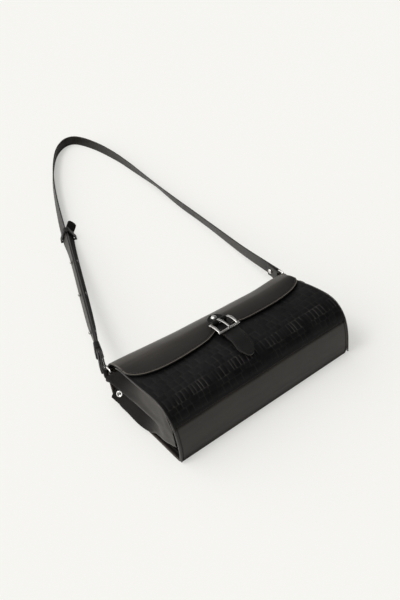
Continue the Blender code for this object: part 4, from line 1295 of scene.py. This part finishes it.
def makeRingTab(name, side, node):
    radius = ring["wire"] + gap + ring["tab"] / 2
    centre = ringBar(side)
    foot = centre.y - ring["foot"]
    half = upwards * ring["tabWidth"] / 2
    stations = []

    def leg(way, run):
        for share in run:
            y = foot + ring["foot"] * share * 0.96
            width = roundEnd(ring["tabWidth"] / 2, y - foot + gap, ring["tabTip"])
            stations.append((Vector((centre.x + way * radius, y, centre.z)), upwards * width))

    leg(side, shares(8))
    for share in shares(16):
        angle = math.pi * share
        away = Vector((side * radius * math.cos(angle), radius * math.sin(angle), 0))
        stations.append((centre + away, half))
    leg(-side, reversed(shares(8)))
    piece = makeBand(name, stations, 10, ring["tab"], [smoothLeather, edgePaint],
                     bandMarks(ring["tabWidth"], 0.0012))
    dress(piece, "strap", "smooth_leather", node)


for word, side in (("Left", -1), ("Right", 1)):
    makeRing("ring" + word, side, "ring_" + word.lower())
    makeRingTab("ringTab" + word, side, "ring_tab_" + word.lower())
print("rings made")

# Strap
strap = {
    "width": 0.0160, "leather": 0.0020, "adjuster": 0.0018, "fold": 0.0240,
    "start": (-0.1144, 0.1012, 0.0430), "end": (0.0046, 0.3980, 0.0100), "height": 0.0082, "dip": 0.0016,
    "touch": 0.0004, "touching": (-0.03, -0.01), "tongue": 0.0550, "drift": 0.0060,
    "drifting": (0.345, 0.375), "tailTip": 0.0240, "step": 0.0025, "endStud": 0.01755,
    # The route's points: x, y, z and the lean in degrees. The middle ones stand on the floor, with no z.
    "tail": (
        (-0.1282, 0.0790, 0.0330, -10), (-0.1252, 0.0850, 0.0355, -10), (-0.1215, 0.0915, 0.0382, -8)),
    "route": (
        (0.0220, 0.4470, 26), (0.0395, 0.4910, 21), (0.0585, 0.5360, 16), (0.0805, 0.5830, 14),
        (0.1040, 0.6260, 12), (0.1300, 0.6660, 10), (0.1530, 0.6900, 6), (0.1720, 0.6990, 1),
        (0.1860, 0.6925, -4), (0.1950, 0.6710, -7), (0.2000, 0.6400, -4), (0.2022, 0.6060, -2),
        (0.2015, 0.5640, 5), (0.1983, 0.5200, 10), (0.1943, 0.4800, 19), (0.1900, 0.4370, 27),
        (0.1858, 0.3970, 21)),
    "rightLeg": (
        (0.1815, 0.3530, 0.0086, 15), (0.1765, 0.3040, 0.0105, 15), (0.1700, 0.2570, 0.0140, 14),
        (0.1615, 0.2110, 0.0200, 10), (0.1515, 0.1640, 0.0280, 6), (0.1440, 0.1300, 0.0350, 4),
        (0.1378, 0.1000, 0.0415, 2)),
    # Lean of the two layers along the doubled run: they stand against each other like a tent.
    "outerLean": ((0, 3), (0.033, 4), (0.07, 12), (0.13, 14), (0.27, 15), (0.318, 26)),
    "innerLean": (
        (0, -3), (0.033, -5), (0.07, -12), (0.13, -16), (0.27, -20), (0.335, -28), (0.375, -44)),
    "keeper": 0.0014, "keeperWidth": 0.0130, "rooms": (0.0004, 0.0009), "spare": 0.6,
    "keepers": (0.0050, 0.3350), "slides": ((0, 0.0250), (-0.0200, 0.0080)),
    "studs": (0.0460, 0.1430, 0.2400),
}
doubledStart, doubledEnd = Vector(strap["start"]), Vector(strap["end"])
doubledWay = (doubledEnd - doubledStart).normalized()
doubledLength = (doubledEnd - doubledStart).length
leftwards = upwards.cross(doubledWay).normalized()
layerStep = (strap["leather"] + strap["adjuster"]) / 2 + gap - strap["touch"]


# Strap points carry their lean, in degrees, as a fourth value.
def doubledPoint(length, offset, lean=0):
    spot = doubledStart + doubledWay * length + leftwards * offset
    return Vector((spot.x, spot.y, max(spot.z, strap["height"] - strap["dip"]), lean))


# The inner layer touches the outer one along the doubled run and drifts away at its tongue.
def closer(length):
    touch = strap["touch"] * ease(*strap["touching"], length)
    return touch - strap["drift"] * ease(*strap["drifting"], length)


def foldTurn(centre, radius):
    turn = []
    for share in shares(16)[1:-1]:
        angle = math.pi * share
        turn.append(centre + Vector((radius * math.cos(angle), -radius * math.sin(angle), 0, 0)))
    return turn


# The strap turns back round a ring's outer bar.
def outerBar(side):
    return Vector((*(ringBar(side) + Vector((0, ring["pitch"], 0))), 0))


# Stations of a strap that stands on edge, evenly spaced, with tapered ends.
def strapStations(points, startTip, endTip):
    line = Line(points, 1)
    lengths = [line.length * share for share in shares(round(line.length / strap["step"]))]
    for tip, ends in ((startTip, 0), (endTip, line.length)):
        if tip:
            for share in (0.0, 0.02, 0.06, 0.14, 0.25, 0.4, 0.6, 0.8):
                lengths.append(abs(ends - tip * share))
    lengths = sorted(set(round(length, 6) for length in lengths if 0 <= length <= line.length))
    stations = []
    full = strap["width"] / 2
    for length in lengths:
        half = full
        if startTip:
            half = min(half, roundEnd(full, length, startTip))
        if endTip:
            half = min(half, roundEnd(full, line.length - length, endTip))
        spot = line.at(length)
        lean = math.radians(spot.w)
        rightwards = line.heading(length).cross(upwards).normalized()
        middle = spot.xyz - rightwards * full * math.sin(lean) - upwards * full * (1 - math.cos(lean))
        stations.append((middle, (upwards * math.cos(lean) + rightwards * math.sin(lean)) * half))
    return stations


def makeAdjuster():
    bar = outerBar(-1)
    radius = ring["wire"] + gap + strap["adjuster"] / 2
    short = strap["adjuster"] + gap
    fold = strap["fold"]
    lead = Line([
        bar + Vector((-radius, 0, 0, 0)), bar + Vector((-radius * 0.7, 0.3 * fold, -gap * 3, 0)),
        doubledPoint(-fold * 0.75, 0), doubledPoint(-fold * 0.25, 0),
        doubledPoint(0, strap["touch"], strap["innerLean"][0][1])], 8).points
    back = Line([
        doubledPoint(-fold * 0.30, -short), doubledPoint(-fold * 0.75, -short),
        bar + Vector((radius * 0.8, 0.3 * fold, -gap * 3, 0)),
        bar + Vector((radius, 0, 0, 0))], 8).points
    run = []
    reach = doubledLength + strap["tongue"]
    for share in shares(70)[1:]:
        length = reach * share
        run.append(doubledPoint(length, closer(length), readOff(strap["innerLean"], length)))
    points = [*back, *foldTurn(bar, radius), *lead, *run]
    stations = strapStations(points, 0, strap["width"] / 2)
    piece = makeBand("adjusterStrap", stations, 8, strap["adjuster"], [innerLeather, edgePaint],
                     bandMarks(strap["width"], most=0.2))
    dress(piece, "strap", "strap_leather", "adjuster_strap")


def makeShoulderStrap():
    fold = strap["fold"]
    tail = [Vector(point) for point in strap["tail"]]
    run = []
    for share in shares(24):
        length = doubledLength * share
        run.append(doubledPoint(length, layerStep, readOff(strap["outerLean"], length)))
    loop = [Vector((x, y, strap["height"], lean)) for x, y, lean in strap["route"]]
    loop += [Vector(point) for point in strap["rightLeg"]]
    left = Line([*tail, *run, *loop], 8).points[:-1]
    bar = outerBar(1)
    radius = ring["wire"] + gap + strap["leather"] / 2
    short = strap["leather"] + gap
    root = bar.xyz + across * radius
    way = (loop[-1].xyz - root).normalized()
    inner = upwards.cross(way).normalized()

    def near(length, offset):
        return Vector((*(root + way * length + inner * offset), 0))

    lead = Line([loop[-2], loop[-1], near(fold * 0.6, 0), near(fold * 0.3, 0), near(0, 0)], 8).points[8:]
    back = Line([
        bar + Vector((-radius, 0, 0, 0)), near(fold * 0.4, short + radius * 0.5),
        near(fold * 0.65, short + gap / 2), near(fold, short)], 8).points
    stations = strapStations([*left, *lead, *foldTurn(bar, radius), *back], strap["tailTip"], 0)
    piece = makeBand("shoulderStrap", stations, 8, strap["leather"], [strapLeather, edgePaint],
                     bandMarks(strap["width"], most=0.5))
    dress(piece, "strap", "strap_leather", "shoulder_strap")
    return root + way * strap["endStud"] + inner * short / 2, inner


# A closed outline with its corners rounded off.
def rounded(corners, radius):
    outline = []
    for index, corner in enumerate(corners):
        before, after = corners[index - 1], corners[(index + 1) % len(corners)]
        start = corner + (before - corner).normalized() * radius
        finish = corner + (after - corner).normalized() * radius
        for share in shares(5):
            outline.append(start.lerp(corner, share).lerp(corner.lerp(finish, share), share))
    return outline


# A keeper is wide enough for the layers' widest lean within its slide.
def makeKeeper(name, length, slide, room, body, node):
    room += strap["keeper"] / 2
    high = strap["width"] / 2 + room
    places = [length + slide[0] + (slide[1] - slide[0]) * share for share in shares(8)]
    outer = math.radians(max(readOff(strap["outerLean"], place) for place in places) + strap["spare"])
    inner = math.radians(min(readOff(strap["innerLean"], place) for place in places) - strap["spare"])
    left = layerStep + strap["leather"] / 2 + room
    right = -strap["adjuster"] / 2 - room + min(closer(place) for place in places)
    middle = doubledPoint(length, 0).xyz
    corners = [
        leftwards * left + upwards * high, leftwards * right + upwards * high,
        leftwards * (right + 2 * high * math.sin(inner)) - upwards * high,
        leftwards * (left + 2 * high * math.sin(outer)) - upwards * high]
    outline = rounded(corners, 1.2 * strap["keeper"])
    shape = bmesh.new()
    bmesh.ops.create_circle(shape, cap_ends=False, segments=len(outline), radius=1)
    # Painted highlight: the keeper's two edges carry the rim mark.
    rimMark = shape.verts.layers.float.new("rim")
    ordered = sorted(shape.verts, key=lambda vertex: vertex.index)
    for vertex, spot in zip(ordered, outline):
        vertex.co = middle + spot - doubledWay * strap["keeperWidth"] / 2
        vertex[rimMark] = 0.3
    edges = list(shape.edges)
    for step in range(6):
        made = bmesh.ops.extrude_edge_only(shape, edges=edges)
        fresh = [item for item in made["geom"] if isinstance(item, bmesh.types.BMVert)]
        edges = [item for item in made["geom"] if isinstance(item, bmesh.types.BMEdge)
                 and item.verts[0] in fresh and item.verts[1] in fresh]
        bmesh.ops.translate(shape, verts=fresh, vec=doubledWay * strap["keeperWidth"] / 6)
        for vertex in fresh:
            vertex[rimMark] = 0.3 if step == 5 else 0
    bmesh.ops.recalc_face_normals(shape, faces=shape.faces)
    piece = addPiece(name, shape, [tabLeather, edgePaint])
    thicken(piece, strap["keeper"])
    soften(piece, gap)
    dress(settle(piece), body, "strap_leather", node)


stud = {"ball": 0.0023, "base": 0.0024, "plate": 0.0004, "shank": 0.0014, "head": 0.0035,
        "headRise": 0.0016, "headEdge": 0.0008, "endPlate": 0.0009}


# Ball studs hold the doubled stretch, and a flat stud the strap's right end.
def makeStuds(endSpot, endWay):
    ball, base, plate, shank = [stud[name] for name in ("ball", "base", "plate", "shank")]
    half = strap["width"] / 2
    for index, length in enumerate(strap["studs"]):
        outer = math.sin(math.radians(readOff(strap["outerLean"], length)))
        inner = math.sin(math.radians(readOff(strap["innerLean"], length)))
        layers = strap["leather"] + strap["adjuster"] + gap + half * (outer - inner)
        profile = [(0, -plate), (base * 0.9, -plate), (base, -plate / 2), (base, 0), (shank, 0),
                   (shank, layers)]
        profile += dome(ball, layers + 0.3 * ball, ball, -40, 14)
        spot = doubledPoint(length, half * inner - strap["adjuster"] / 2).xyz
        piece = makeTurned("adjusterStud" + str(index + 1), profile, spot, leftwards, shadedStudNickel, 32)
        dress(piece, "strap", "nickel", "adjuster_stud_" + str(index + 1))
    layers = 2 * strap["leather"] + gap
    head, plate = stud["head"], stud["endPlate"]
    profile = [(0, -gap - plate), (base * 0.9, -gap - plate), (base, -gap - plate * 2 / 3), (base, -gap),
               (shank, -gap), (shank, layers + 2 * gap), (head, layers + 2 * gap)]
    profile += dome(head, layers + stud["headEdge"], stud["headRise"])
    foot = endSpot - endWay * layers / 2
    piece = makeTurned("strapEndStud", profile, foot, endWay, nickel, 40)
    dress(piece, "strap", "nickel", "strap_end_stud")


makeAdjuster()
makeStuds(*makeShoulderStrap())
for word, *plan in zip(("Lower", "Upper"), strap["keepers"], strap["slides"], strap["rooms"]):
    makeKeeper("keeper" + word, *plan, word.lower() + "_keeper", "keeper_" + word.lower())
print("strap made")

# Pieces that keep their own shape
for name, material in (("bottom_board", fibreBoard), ("magnet_panel_half", magnetPlate),
                       ("magnet_tab_half", magnetPlate)):
    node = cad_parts[name]
    node.data.materials.clear()
    node.data.materials.append(material)
